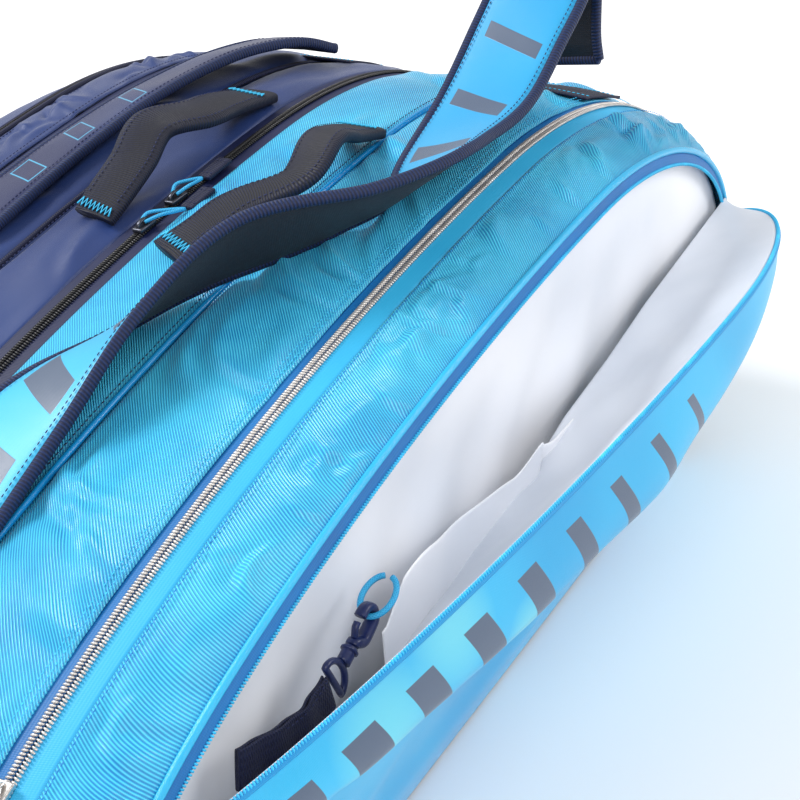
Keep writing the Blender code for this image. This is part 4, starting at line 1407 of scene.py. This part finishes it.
@dataclass
class Handle:
    """A padded webbing grab handle sewn down at both ends with bar tacks."""
    tag: str
    start: tuple
    stop: tuple
    shape: tuple
    width: float = 0.030
    thick: float = 0.008

    def track(self, steps: int = 120) -> Track:
        """The handle's middle line."""
        ends = [np.array([x, y, float(OUTLINE.top_z(x, y)) + self.thick / 2 + 0.003])
                for x, y in (self.start, self.stop)]
        pts = [ends[0] + (ends[1] - ends[0]) * t + np.array([0.0, aside, rise])
               for t, aside, rise, _ in self.shape]
        path = curve_through(pts, steps)
        tilt = np.radians(curve_through([(row[3], 0, 0) for row in self.shape], steps)[:, 0])
        ahead = np.gradient(path, axis=0)
        ahead /= np.linalg.norm(ahead, axis=1, keepdims=True)
        side = np.array([0.0, 1.0, 0.0]) - ahead * ahead[:, 1:2]
        side /= np.linalg.norm(side, axis=1, keepdims=True)
        up = np.cross(ahead, side)
        c, s = np.cos(tilt)[:, None], np.sin(tilt)[:, None]
        return Track(path, side * c + up * s, up * c - side * s)

    def build(self, body: str) -> None:
        """Make the grip, its stitching and its tacks."""
        t = self.track()
        grip = t.tube(f"{self.tag}_handle_grip", HANDLE_WEB, self.width / 2, self.thick / 2, 28, 0.55)
        attach(grip, body, "navy_webbing", f"handle_{self.tag}")
        for sign, word in ((-1, "low"), (1, "high")):
            line = t.shifted(sign * self.width * 0.36, self.thick / 2 + 0.0002)
            row = bead_row(f"{self.tag}_handle_stitches_{word}", line, 0.0034, SHORT_STITCH,
                           NAVY_THREAD, start=0.012, stop=0.012)
            attach(row, body, "navy_webbing")
        for k, base in enumerate((6, len(t.points) - 7)):
            p, side, up = t.points[base], t.side[base], t.up[base]
            ahead = t.ahead[base]
            zig = []
            for i in range(17):
                w = (i / 16 * 2 - 1) * self.width * 0.42
                zig.append(p + side * w + ahead * (0.0026 if i % 2 else -0.0026)
                           + up * (self.thick / 2 + 0.0005))
            tack = track_of(zig, up).tube(f"{self.tag}_handle_tack_{k}", CYAN_THREAD, 0.0006, 0.0006, 6)
            attach(tack, body, "navy_webbing")
        LOG.info("handle %s done", self.tag)


def slab(name: str, centre: Array, ahead: Array, up: Array, size: tuple[float, float, float], look: Finish,
         taper: float = 1.0, round_by: float = 0.3) -> bpy.types.Object:
    """A moulded block with rounded edges and an optional taper towards its tail.

    Args:
        name: the piece's name.
        centre: its middle.
        ahead: direction of its length.
        up: direction of its thickness.
        size: length, width and thickness.
        look: its finish.
        taper: width at the tail as a share of the width at the nose.
        round_by: edge radius as a share of the thickness.

    Returns:
        The piece.
    """
    bm = bmesh.new()
    bmesh.ops.create_grid(bm, x_segments=6, y_segments=4, size=0.5)
    bmesh.ops.solidify(bm, geom=bm.faces[:], thickness=1.0)
    low = min(v.co.z for v in bm.verts)
    for v in bm.verts:
        v.co.z -= low + 0.5
        v.co.y *= 1 - (1 - taper) * (0.5 - v.co.x)
        v.co = Vector((v.co.x * size[0], v.co.y * size[1], v.co.z * size[2]))
    sharp = [e for e in bm.edges if e.is_manifold and e.calc_face_angle(0) > 0.9]
    bmesh.ops.bevel(bm, geom=sharp, offset=size[2] * round_by, segments=3, profile=0.5, affect="EDGES")
    d = Vector(ahead).normalized()
    n = Vector(up) - d * d.dot(Vector(up))
    n.normalize()
    basis = Matrix((d, n.cross(d), n)).transposed()
    for v in bm.verts:
        v.co = basis @ v.co + Vector(centre)
    bmesh.ops.recalc_face_normals(bm, faces=bm.faces)
    layer = bm.loops.layers.uv.new("UVMap")
    for f in bm.faces:
        for loop in f.loops:
            rel = loop.vert.co - Vector(centre)
            loop[layer].uv = (rel.dot(d), rel.dot(n.cross(d)))
    mesh = bpy.data.meshes.new(name)
    bm.to_mesh(mesh)
    bm.free()
    mesh.materials.append(look.make())
    mesh.shade_smooth()
    mesh.set_sharp_from_angle(angle=math.radians(50))
    piece = bpy.data.objects.new(name, mesh)
    bpy.context.scene.collection.objects.link(piece)
    return piece


@dataclass
class Slider:
    """A zip slider: a wedge body with a bridge over it."""
    name: str
    x: float
    y: float
    lift: float
    node: str
    body: str
    slot: str
    look: Finish
    pull: bool = False

    def build(self) -> None:
        """Make the slider where its zip runs."""
        slope = float(OUTLINE.top_z(self.x + 0.004, self.y) - OUTLINE.top_z(self.x - 0.004, self.y)) / 0.008
        ahead = np.array([1.0, 0.0, slope]) / math.hypot(1, slope)
        up = np.array([-ahead[2], 0.0, ahead[0]])
        base = np.array([self.x, self.y, float(OUTLINE.top_z(self.x, self.y)) + self.lift])
        lower = slab(self.name + "_body", base, ahead, up, (0.0138, 0.0098, 0.0030), self.look, 0.72)
        attach(lower, self.body, self.slot, self.node)
        crown = [base + ahead * a + up * b for a, b in (
            (-0.0048, 0.0012), (-0.0040, 0.0030), (-0.0012, 0.0040), (0.0020, 0.0038), (0.0046, 0.0026),
            (0.0052, 0.0012))]
        side = np.cross(up, ahead)
        bridge = track_of(curve_through(crown, 22), np.tile(side, (22, 1)))
        arch = Track(bridge.points, np.tile(side, (22, 1)), np.cross(bridge.ahead, side))
        attach(arch.tube(self.name + "_bridge", self.look, 0.0013, 0.0008, 10, 0.7), self.body, self.slot)
        if self.pull:
            points = []
            for i in range(33):
                a = 2 * math.pi * i / 32
                points.append(base - ahead * (0.0075 - 0.0045 * math.cos(a)) + side * 0.0032 * math.sin(a)
                              + up * 0.0028)
            ring = track_of(points, up, closed=True)
            ring_mesh = ring.tube(self.name + "_ring", self.look, 0.0007, 0.0007, 8, caps=False)
            attach(ring_mesh, self.body, self.slot)
            tab = slab(self.name + "_tab", base - ahead * 0.0205 + up * 0.0028, ahead, up,
                       (0.0175, 0.0075, 0.0020), NAVY_PLASTIC, 1.15, 0.35)
            attach(tab, self.body, self.slot)


@dataclass
class MiddlePullers:
    """Thin cord loops and folded ribbon tabs on the middle zip's two sliders."""
    cord_radius: float = 0.0011

    def loop(self, x: float, y: float, reach: float, swerve: float) -> Array:
        """The cord's route out of its slider, round the tab and back."""
        route = [(x + reach * u, y + swerve * u + spread, float(OUTLINE.top_z(x + reach * u, y)) + height)
                 for u, spread, height in (
                     (0, -0.0016, 0.0062), (0.3, -0.0045, 0.0085), (0.7, -0.003, 0.0070), (1.0, 0.0, 0.0055),
                     (0.7, 0.003, 0.0070), (0.3, 0.0045, 0.0085), (0, 0.0016, 0.0062))]
        return curve_through(route, 34)

    def build(self) -> None:
        """Make both pullers."""
        for word, x, reach, swerve in (("near", NEAR_SLIDER_X, 0.020, -0.0155),
                                       ("far", FAR_SLIDER_X, 0.022, -0.004)):
            path = self.loop(x, 0.0, reach, swerve)
            line = track_of(path)
            cord = line.tube(f"middle_puller_cord_{word}", CYAN_CORD, self.cord_radius, self.cord_radius, 10)
            body = f"middle_slider_{word}"
            tab_x = x + reach + 0.0140
            centre = np.array([tab_x, swerve, float(OUTLINE.top_z(tab_x, 0.0)) + 0.0045])
            tab = slab(f"middle_puller_ribbon_{word}", centre, np.array([1.0, 0.0, 0.08]),
                       np.array([0, 0, 1.0]), (0.0240, 0.0100, 0.0030), NAVY_BAND, 0.92, 0.4)
            attach(tab, body, "navy_webbing", f"middle_tab_{word}")
            for k in (-1, 1):
                line_a = centre + np.array([k * 0.0075, -0.0042, 0.0017 + k * 0.0006])
                line_b = centre + np.array([k * 0.0075, 0.0042, 0.0017 + k * 0.0006])
                seam = track_of(np.linspace(line_a, line_b, 8))
                attach(bead_row(f"middle_ribbon_stitch_{word}_{k + 1}", seam, 0.0021,
                                (0.0016, 0.0006, 0.0005), NAVY_THREAD), body, "navy_webbing")
            attach(cord, body, "braided_cord", f"middle_cord_{word}")
        LOG.info("middle pullers done")


@dataclass
class KeyHook:
    """The key hook inside the open pocket: webbing, D-ring, swivel, hook, gate and cord loop."""
    y: float = -0.2345
    ring: tuple = (-0.186, -0.2345, 0.182)

    @property
    def ahead(self) -> Array:
        """Direction from the ring to the hook's nose."""
        d = np.array([0.93, 0.0, 0.37])
        return d / np.linalg.norm(d)

    def point(self, along: float, across: float) -> Array:
        """A point in the hook's plane."""
        d = self.ahead
        return np.array(self.ring) + d * along + np.array([-d[2], 0.0, d[0]]) * across

    def build(self) -> None:
        """Make every piece of the hook."""
        plane = np.array([0.0, 1.0, 0.0])
        route = [(-0.262, -0.2305, 0.186), (-0.240, self.y, 0.181), (-0.215, self.y - 0.001, 0.176),
                 tuple(np.array(self.ring) - self.ahead * 0.0075)]
        path = curve_through(route, 60)
        for k, lift in enumerate((0.0009, -0.0009)):
            t = track_of(path, np.tile(plane * -1, (60, 1)))
            wave = 0.0006 * np.sin(np.arange(60) * 0.35 + k)
            t = Track(t.points + t.up * (lift + wave)[:, None], t.side, t.up)
            web = t.tube(f"hook_webbing_{'ab'[k]}", NAVY_BAND, 0.0108, 0.0009, 20, 0.4)
            if k == 0:
                attach(web, "hook_strap", "navy_webbing", "hook_webbing")
            else:
                attach(web, "hook_strap", "navy_webbing")
        t = track_of(path, np.tile(plane * -1, (60, 1)))
        for sign in (-1, 1):
            row = bead_row(f"hook_webbing_stitch_{sign + 1}", t.shifted(sign * 0.0086, 0.0022), 0.0032,
                           SHORT_STITCH, NAVY_THREAD, start=0.03)
            attach(row, "hook_strap", "navy_webbing")
        ring = [self.point(-0.002, w) for w in np.linspace(-0.0125, 0.0125, 12)]
        ring += [self.point(-0.002 + 0.009 * math.cos(a), 0.0125 * math.sin(a))
                 for a in np.linspace(math.pi / 2, -math.pi / 2, 26)][1:]
        loop = track_of(ring, np.tile(plane, (len(ring), 1)), closed=True)
        attach(loop.tube("hook_ring_bar", NAVY_PLASTIC, 0.0017, 0.0017, 12, 0.8), "hook_strap",
               "navy_plastic", "hook_d_ring")
        post = track_of([self.point(a, 0) for a in np.linspace(0.0085, 0.0172, 8)], plane)
        attach(post.tube("hook_swivel_barrel", NAVY_PLASTIC, 0.0040, 0.0036, 20), "hook_strap",
               "navy_plastic", "hook_swivel_post")
        collar = track_of([self.point(a, 0) for a in (0.0150, 0.0160)], plane)
        attach(collar.tube("hook_swivel_collar", NAVY_PLASTIC, 0.0050, 0.0046, 24), "hook_strap",
               "navy_plastic")
        shank = [self.point(0.0183, 0.0), self.point(0.0205, -0.0004), self.point(0.0235, -0.0046),
                 self.point(0.0270, -0.0062)]
        shank += [self.point(0.034 + 0.0062 * math.sin(math.pi * i / 8), -0.0062 * math.cos(math.pi * i / 8))
                  for i in range(1, 9)]
        shank.append(self.point(0.0315, 0.0062))
        bow = track_of(curve_through(shank, 70), np.tile(plane, (70, 1)))
        body = bow.tube("hook_bow", NAVY_PLASTIC, 0.0023, 0.0032, 16, 0.75)
        swell = 1 + 0.28 * np.exp(-((np.arange(70) - 12) / 12.0) ** 2)
        co = np.array([v.co for v in body.data.vertices]).reshape(70, 16, 3)
        co = bow.points[:, None] + (co - bow.points[:, None]) * swell[:, None, None]
        body.data.vertices.foreach_set("co", co.reshape(-1))
        attach(body, "hook", "navy_plastic", "hook_body")
        gate = track_of(curve_through([self.point(0.0222, 0.0016), self.point(0.0255, 0.0052),
                                       self.point(0.0284, 0.0060)], 20),
                        np.tile(plane, (20, 1)))
        attach(gate.tube("hook_gate_leaf", NAVY_PLASTIC, 0.0013, 0.0018, 12, 0.7), "hook_gate",
               "navy_plastic", "hook_gate")
        loop_path = []
        for i in range(48):
            a = 2 * math.pi * ((i + 0.5) / 48 * 0.94 + 0.03)
            centre = self.point(0.0355 + 0.012 * (1 - math.cos(a - math.pi)), 0.0)
            loop_path.append(centre + np.array([0.0, 0.0085 * math.sin(a), 0.0]))
        line = track_of(loop_path)
        cord = line.tube("hook_braided_loop", CYAN_CORD, 0.0016, 0.0016, 12)
        attach(cord, "hook", "braided_cord", "hook_cord_loop")
        LOG.info("key hook done")


@dataclass
class Organiser:
    """The white organiser pocket sewn to the inner wall, with a gathered top edge."""
    rows: int = 34
    columns: int = 120

    def build(self) -> None:
        """Make the organiser's cloth."""
        v = np.linspace(0, 1, self.rows)[:, None]
        u = np.linspace(0, 1, self.columns)[None, :]
        x = -0.132 + 0.222 * u - 0.010 * v * (1 - u) + 0 * v
        peak = np.exp(-((x - 0.030) / 0.010) ** 2)
        crest = 0.1875 + 0.0095 * np.exp(-((x + 0.102) / 0.028) ** 2)
        crest = crest - 0.016 * np.clip((x + 0.10) / 0.11, 0, 1) ** 1.4
        crest = crest + 0.013 * peak - 0.012 * np.clip((-0.118 - x) / 0.02, 0, 1)
        z = 0.118 + (crest - 0.118) * v
        wave = 0.0030 * np.sin(7.0 * u + 1.5 * v) * v + 0.0006 * v * np.sin(u * 24 + v * 2)
        wave += 0.0055 * v * peak - 0.004 * v * np.exp(-((x - 0.043) / 0.007) ** 2)
        wave += 0.0045 * v ** 2 * np.exp(-((x + 0.10) / 0.03) ** 2)
        y = RIGHT.edge_y(z) - 0.0042 - wave - 0.004 * v
        grid = np.stack([x, y, z], -1)
        uv = np.stack([x, z], -1)
        flip = bool(np.mean(normals_of(grid)[..., 1]) > 0)
        cloth = cloth_sheet("organiser_cloth", grid, uv, WHITE_SATIN, 0.0007, flip)
        attach(cloth, "wall_right", "white_lining", "organiser_pocket")
        LOG.info("organiser done")


@dataclass
class StrapAnchor:
    """A strap's near anchor: webbing up the end, a ladder lock, and the far patch."""
    tag: str
    start: tuple

    def build(self) -> None:
        """Make the anchor's pieces."""
        body = f"bag_{self.tag}"
        x, y = self.start[:2]
        slope = math.atan2(float(OUTLINE.top_z(x + 0.01, y) - OUTLINE.top_z(x - 0.01, y)), 0.02)
        ahead = np.array([math.cos(slope), 0.0, math.sin(slope)])
        up = np.array([-ahead[2], 0.0, ahead[0]])
        low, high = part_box(f"ladder_lock_{self.tag}")
        centre = np.array((Vector(low) + Vector(high)) / 2)
        frame_body = f"strap_{self.tag}"
        node = f"ladder_lock_{self.tag}"
        for k, sign in enumerate((-1, 1)):
            bar = slab(f"{self.tag}_lock_side_{k}", centre + np.array([0, sign * 0.0163, 0]), ahead, up,
                       (0.034, 0.0050, 0.0048), BLACK_PLASTIC, 1.0, 0.35)
            attach(bar, frame_body, "black_plastic", node)
        for k, at in enumerate((-0.0148, -0.0040, 0.0035, 0.0148)):
            p = centre + ahead * at
            bar = track_of(np.linspace(p - np.array([0, 0.0165, 0]), p + np.array([0, 0.0165, 0]), 10), up)
            attach(bar.tube(f"{self.tag}_lock_bar_{k}", BLACK_PLASTIC, 0.0022, 0.0021, 12, 0.8), frame_body,
                   "black_plastic")
        for k, sign in enumerate((-1, 1)):
            path = curve_through([centre - ahead * 0.017 + up * 0.0012 * sign,
                                  centre - ahead * 0.008 + up * 0.0018, centre + up * 0.0022,
                                  centre + ahead * 0.012 + up * 0.0012 * sign], 30)
            t = track_of(path, np.tile(up, (30, 1)))
            attach(t.tube(f"{self.tag}_lock_webbing_{k}", NAVY_BAND, 0.0122, 0.0008, 18, 0.4), frame_body,
                   "navy_webbing")
        low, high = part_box(f"anchor_webbing_{self.tag}")
        info = OUTLINE.stations(500, 0.0, 0.4)
        xz = OUTLINE.at(info, np.full(500, y))
        pts = np.stack([xz[:, 0], np.full(500, y), xz[:, 1]], 1)
        keep = (pts[:, 2] > low[2] + 0.001) & (pts[:, 2] < high[2] - 0.001)
        t = track_of(pts[keep], np.array([-1.0, 0.0, 0.3]))
        t = t.every(0.003).shifted(above=0.0019)
        attach(t.tube(f"{self.tag}_anchor_band", NAVY_BAND, 0.0124, 0.0009, 18, 0.4), body, "navy_webbing",
               f"anchor_webbing_{self.tag}")
        low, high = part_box(f"anchor_patch_{self.tag}")
        self.patch(body, low, high)

    def patch(self, body: str, low: Vector, high: Vector) -> None:
        """The folded webbing patch that the strap's far end is sewn under."""
        rows, columns = 26, 22
        x = np.linspace(low[0] + 0.001, high[0] - 0.001, rows)[:, None] * np.ones((1, columns))
        y = np.linspace(low[1] + 0.001, high[1] - 0.001, columns)[None, :] * np.ones((rows, 1))
        z = OUTLINE.top_z(np.minimum(x, 0.385), y) + 0.0052
        grid = np.stack([x, y, np.clip(z, low[2], high[2])], -1)
        uv = np.stack([x, y], -1)
        cloth = cloth_sheet(f"{self.tag}_anchor_cloth", grid, uv, NAVY_BAND, 0.0016)
        attach(cloth, body, "navy_webbing", f"anchor_patch_{self.tag}")
        for k, share in enumerate((0.14, 0.86)):
            i = int(share * (rows - 1))
            t = track_of(grid[i] + np.array([0, 0, 0.0004]))
            row = bead_row(f"{self.tag}_anchor_stitch_{k}", t, 0.0032, SHORT_STITCH, CYAN_THREAD)
            attach(row, body, "navy_webbing")


@dataclass
class PocketSlider:
    """The small dark slider with a ring, parked at the head end of a pocket zip."""
    side: Side

    def build(self) -> None:
        """Make the slider and its ring."""
        tag = self.side.tag
        low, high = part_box(f"pocket_slider_{tag}")
        centre = np.array((Vector(low) + Vector(high)) / 2)
        out = np.array([0.0, float(self.side.sign), 0.0])
        centre = centre - out * 0.0012 - np.array([0, 0, 0.0012])
        body = slab(f"{tag}_pocket_slider_body", centre, np.array([0.25, 0, 1.0]), out,
                    (0.0098, 0.0076, 0.0028), DARK_METAL, 0.75)
        attach(body, f"wall_{tag}", "slider_metal", f"pocket_slider_{tag}")
        points = []
        for i in range(33):
            a = 2 * math.pi * i / 32
            points.append(centre + out * (0.0045 + 0.0036 * (1 - math.cos(a))) + np.array(
                [0.0042 * math.sin(a), 0.0, -0.002 - 0.0022 * (1 - math.cos(a))]))
        ring = track_of(points, np.array([1.0, 0.2, 0.0]), closed=True)
        attach(ring.tube(f"{tag}_pocket_slider_ring", DARK_METAL, 0.0008, 0.0008, 8, caps=False),
               f"wall_{tag}", "slider_metal")


@dataclass
class Carcass:
    """The base boards and the dividers between the compartments."""

    def build(self) -> None:
        """Give the boards and dividers their cloth."""
        for tag in ("right", "left"):
            for node in (f"base_inner_{tag}", f"base_outer_{tag}", f"divider_{tag}"):
                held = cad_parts[node]
                held.data.materials.clear()
                held.data.materials.append(BOARD_CLOTH.make())


@dataclass
class Studio:
    """The pale floor, the soft lights and the camera."""
    target: tuple = (0.0376, -0.1409, 0.1879)
    azimuth: float = -56.24
    elevation: float = 30.95
    roll: float = -6.87
    distance: float = 1.0755
    lens: float = 82.8

    def camera(self) -> None:
        """Place the camera at the product view's angle."""
        az, el, roll = (math.radians(a) for a in (self.azimuth, self.elevation, self.roll))
        back = Vector((math.sin(az) * math.cos(el), -math.cos(az) * math.cos(el), math.sin(el)))
        right = Vector((math.cos(az), math.sin(az), 0.0))
        up = back.cross(right)
        x = right * math.cos(roll) + up * math.sin(roll)
        y = up * math.cos(roll) - right * math.sin(roll)
        data = bpy.data.cameras.new("product_camera")
        data.lens, data.sensor_width, data.clip_start = self.lens, 36.0, 0.01
        cam = bpy.data.objects.new("product_camera", data)
        turn = Matrix((x, y, back)).transposed().to_4x4()
        cam.matrix_world = Matrix.Translation(Vector(self.target) + back * self.distance) @ turn
        bpy.context.scene.collection.objects.link(cam)
        bpy.context.scene.camera = cam

    def light(self, name: str, place: tuple, size: float, power: float) -> None:
        """An area light that looks at the bag."""
        data = bpy.data.lights.new(name, "AREA")
        data.shape, data.size, data.energy = "SQUARE", size, power
        lamp = bpy.data.objects.new(name, data)
        lamp.location = place
        aim = Vector(self.target) - Vector(place)
        lamp.rotation_euler = aim.to_track_quat("-Z", "Y").to_euler()
        bpy.context.scene.collection.objects.link(lamp)

    def build(self) -> None:
        """Make the stage."""
        self.camera()
        world = bpy.data.worlds.new("soft_room")
        world.use_nodes = True
        world.node_tree.nodes["Background"].inputs["Color"].default_value = (1.0, 1.0, 1.0, 1.0)
        world.node_tree.nodes["Background"].inputs["Strength"].default_value = 0.62
        bpy.context.scene.world = world
        bpy.context.scene.view_settings.view_transform = "Standard"
        shade = Shade("pale_floor", 0.8)
        shade.colour((0.93, 0.93, 0.93, 1.0))
        mesh = bpy.data.meshes.new("floor")
        mesh.from_pydata([(-9, -9, -0.0006), (9, -9, -0.0006), (9, 9, -0.0006), (-9, 9, -0.0006)], [],
                         [(0, 1, 2, 3)])
        mesh.materials.append(shade.material)
        floor = bpy.data.objects.new("floor", mesh)
        bpy.context.scene.collection.objects.link(floor)
        self.light("key_light", (-0.3, 1.5, 2.2), 0.9, 62.0)
        self.light("fill_light", (-1.9, -1.2, 1.9), 1.2, 27.0)
        self.light("front_light", (1.4, -2.0, 1.4), 1.2, 28.0)


RIGHT_ROUTE = ((-0.335, -0.055, 0.006), (-0.25, -0.052, 0.0055), (-0.17, -0.0535, 0.0143),
               (-0.105, -0.073, 0.0245), (-0.045, -0.0985, 0.0330), (0.015, -0.140, 0.0300),
               (0.062, -0.156, 0.0270), (0.112, -0.147, 0.0220), (0.162, -0.145, 0.0295),
               (0.208, -0.144, 0.0545), (0.240, -0.144, 0.078), (0.256, -0.141, 0.096),
               (0.274, -0.136, 0.1005), (0.284, -0.132, 0.085), (0.278, -0.132, 0.045),
               (0.276, -0.134, 0.025))
RIGHT_LEAN = (0, 0, -7, -41, -57, -42, -35, -18, -4, 1, 4, 3, 2, 0, 0, 0)
LEFT_ROUTE = ((-0.335, 0.080, 0.006), (-0.25, 0.090, 0.0055), (-0.15, 0.098, 0.006),
              (-0.05, 0.104, 0.007), (0.05, 0.104, 0.009), (0.13, 0.098, 0.012),
              (0.20, 0.084, 0.016), (0.25, 0.070, 0.018), (0.285, 0.060, 0.014))
LEFT_LEAN = (0, 0, -4, -6, -10, -14, -14, -8, 0)
RIGHT_HANDLE = ((0, 0, 0, 0), (0.13, -0.006, 0.0065, -10), (0.24, -0.017, 0.0145, -11),
                (0.40, -0.036, 0.0205, -14), (0.61, -0.026, 0.027, -8), (0.82, -0.010, 0.013, 3),
                (1, 0, 0, 0))
LEFT_HANDLE = ((0, 0, 0, 0), (0.09, -0.002, 0.008, 8), (0.24, -0.001, 0.0165, 10),
               (0.41, 0.004, 0.025, 14), (0.59, -0.006, 0.020, 16), (0.76, -0.002, 0.0125, 12), (1, 0, 0, 0))


def slanted_bars(first: float, step: float, count: int, across: tuple[float, float],
                 widths: tuple[float, float], lean: float) -> tuple:
    """Plain slanted bars at even spacing, each a little narrower than the last.

    Args:
        first: The first bar's place along the cloth, metres.
        step: Distance from one bar to the next.
        count: Number of bars.
        across: Where each bar starts and ends across the cloth.
        widths: The first and the last bar's width.
        lean: How far a bar's far end is moved along the cloth.

    Returns:
        One four-cornered outline for each bar.
    """
    low, high = across
    bars = []
    for i in range(count):
        u = first + step * i
        half = (widths[0] + (widths[1] - widths[0]) * i / (count - 1)) / 2
        bars.append(((u - half, low), (u + half, low), (u + half + lean, high), (u - half + lean, high)))
    return tuple(bars)


def main() -> None:
    """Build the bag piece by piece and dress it."""
    logging.basicConfig(level=logging.INFO, format="%(message)s")
    Studio().build()
    MiddlePullers().build()
    KeyHook().build()
    Carcass().build()
    MainPanels().build()
    ZipLine("middle_zip", 0.0, ("bag_right", "bag_left"), ("middle_zip_right", "middle_zip_left"),
            "navy_webbing", (DARK_TAPE, DARK_TAPE), BLACK_COIL, (0.0125, 0.0125)).build()
    ZipLine("right_zip", -0.166, ("bag_right", "wall_right"),
            ("side_zip_inner_right", "side_zip_outer_right"), "zip_tape_blue",
            (INNER_TAPE, OUTER_TAPE), SILVER_COIL).build()
    ZipLine("left_zip", 0.128, ("bag_left", "wall_left"), ("side_zip_inner_left", "side_zip_outer_left"),
            "zip_tape_blue", (DARK_TAPE, DARK_TAPE), SILVER_COIL).build()
    Gusset(RIGHT, CYAN_RIB_SIDE, "cyan_ribbed", DARK_THREAD, 31).build()
    Gusset(LEFT, NAVY_CLOTH, "navy_smooth", NAVY_THREAD, 41).build()
    # The pocket's print carries three painted highlights near the flap's edge.
    pocket_print = PrintedCloth(
        "pocket_print", shards=slanted_bars(-0.262, 0.042, 9, (0.016, 0.066), (0.024, 0.008), 0.016),
        painted_highlights=((-0.150, 0.010, 0.030), (-0.205, 0.026, 0.035), (-0.10, 0.045, 0.02)))
    Pocket(RIGHT, 64.8, pocket_print, GREY_SATIN, "flap_print", PIPING, BLUE_COIL, BLUE_TAPE,
           creases=((-0.34, 0.150), (-0.13, 0.146), (0.03, 0.158), (0.08, 0.170), (0.14, 0.176),
                    (0.20, 0.185), (0.34, 0.198)),
           ridges=scattered(51, 24, (-0.30, 0.30), (0.02, 0.18), (-60, 60), (0.03, 0.08), (0.010, 0.022),
                            (0.0006, 0.0018))).build()
    Pocket(LEFT, 0.0, NAVY_CLOTH, GREY_SATIN, "navy_smooth", NAVY_BAND, BLACK_COIL, DARK_TAPE,
           ridges=scattered(61, 30, (-0.30, 0.30), (0.02, 0.18), (-60, 60), (0.03, 0.08), (0.010, 0.022),
                            (0.0008, 0.0026))).build()
    Organiser().build()
    strap_print = PrintedCloth(
        "strap_print", shards=slanted_bars(0.080, 0.055, 10, (-0.020, 0.020), (0.026, 0.012), 0.014))
    Strap("right", RIGHT_ROUTE, RIGHT_LEAN, STRAP_WIDTH, strap_print).build("strap_right", "cyan_ribbed")
    outline_print = PrintedCloth("outline_print", Tone.NAVY, Tone.NAVY_DEEP, Tone.SKY, lines=slanted_bars(
        0.120, 0.050, 8, (-0.012, 0.012), (0.026, 0.014), 0.010))
    Strap("left", LEFT_ROUTE, LEFT_LEAN, STRAP_WIDTH * 0.72, outline_print).build(
        "strap_left", "navy_smooth")
    Handle("right", (-0.022, -0.038), (0.138, -0.071), RIGHT_HANDLE).build("handle_right")
    Handle("left", (0.000, 0.032), (0.168, 0.027), LEFT_HANDLE).build("handle_left")
    StrapAnchor("right", RIGHT_ROUTE[0]).build()
    StrapAnchor("left", LEFT_ROUTE[0]).build()
    for name, x, y, lift, node, body, slot, look, pull in (
            ("middle_near", NEAR_SLIDER_X, 0.0, SLIDER_LIFT, "middle_slider_near", "middle_slider_near",
             "slider_metal", DARK_METAL, False),
            ("middle_far", FAR_SLIDER_X, 0.0, SLIDER_LIFT, "middle_slider_far", "middle_slider_far",
             "slider_metal", DARK_METAL, False),
            ("right_zip_slider", SIDE_SLIDER_X, -0.166, SLIDER_LIFT, "side_slider_right",
             "side_slider_right", "slider_silver", BRIGHT_METAL, True),
            ("left_zip_slider", SIDE_SLIDER_X, 0.128, SLIDER_LIFT, "side_slider_left", "side_slider_left",
             "slider_silver", BRIGHT_METAL, True)):
        Slider(name, x, y, lift, node, body, slot, look, pull).build()
    PocketSlider(RIGHT).build()
    PocketSlider(LEFT).build()


if __name__ == "__main__":
    main()
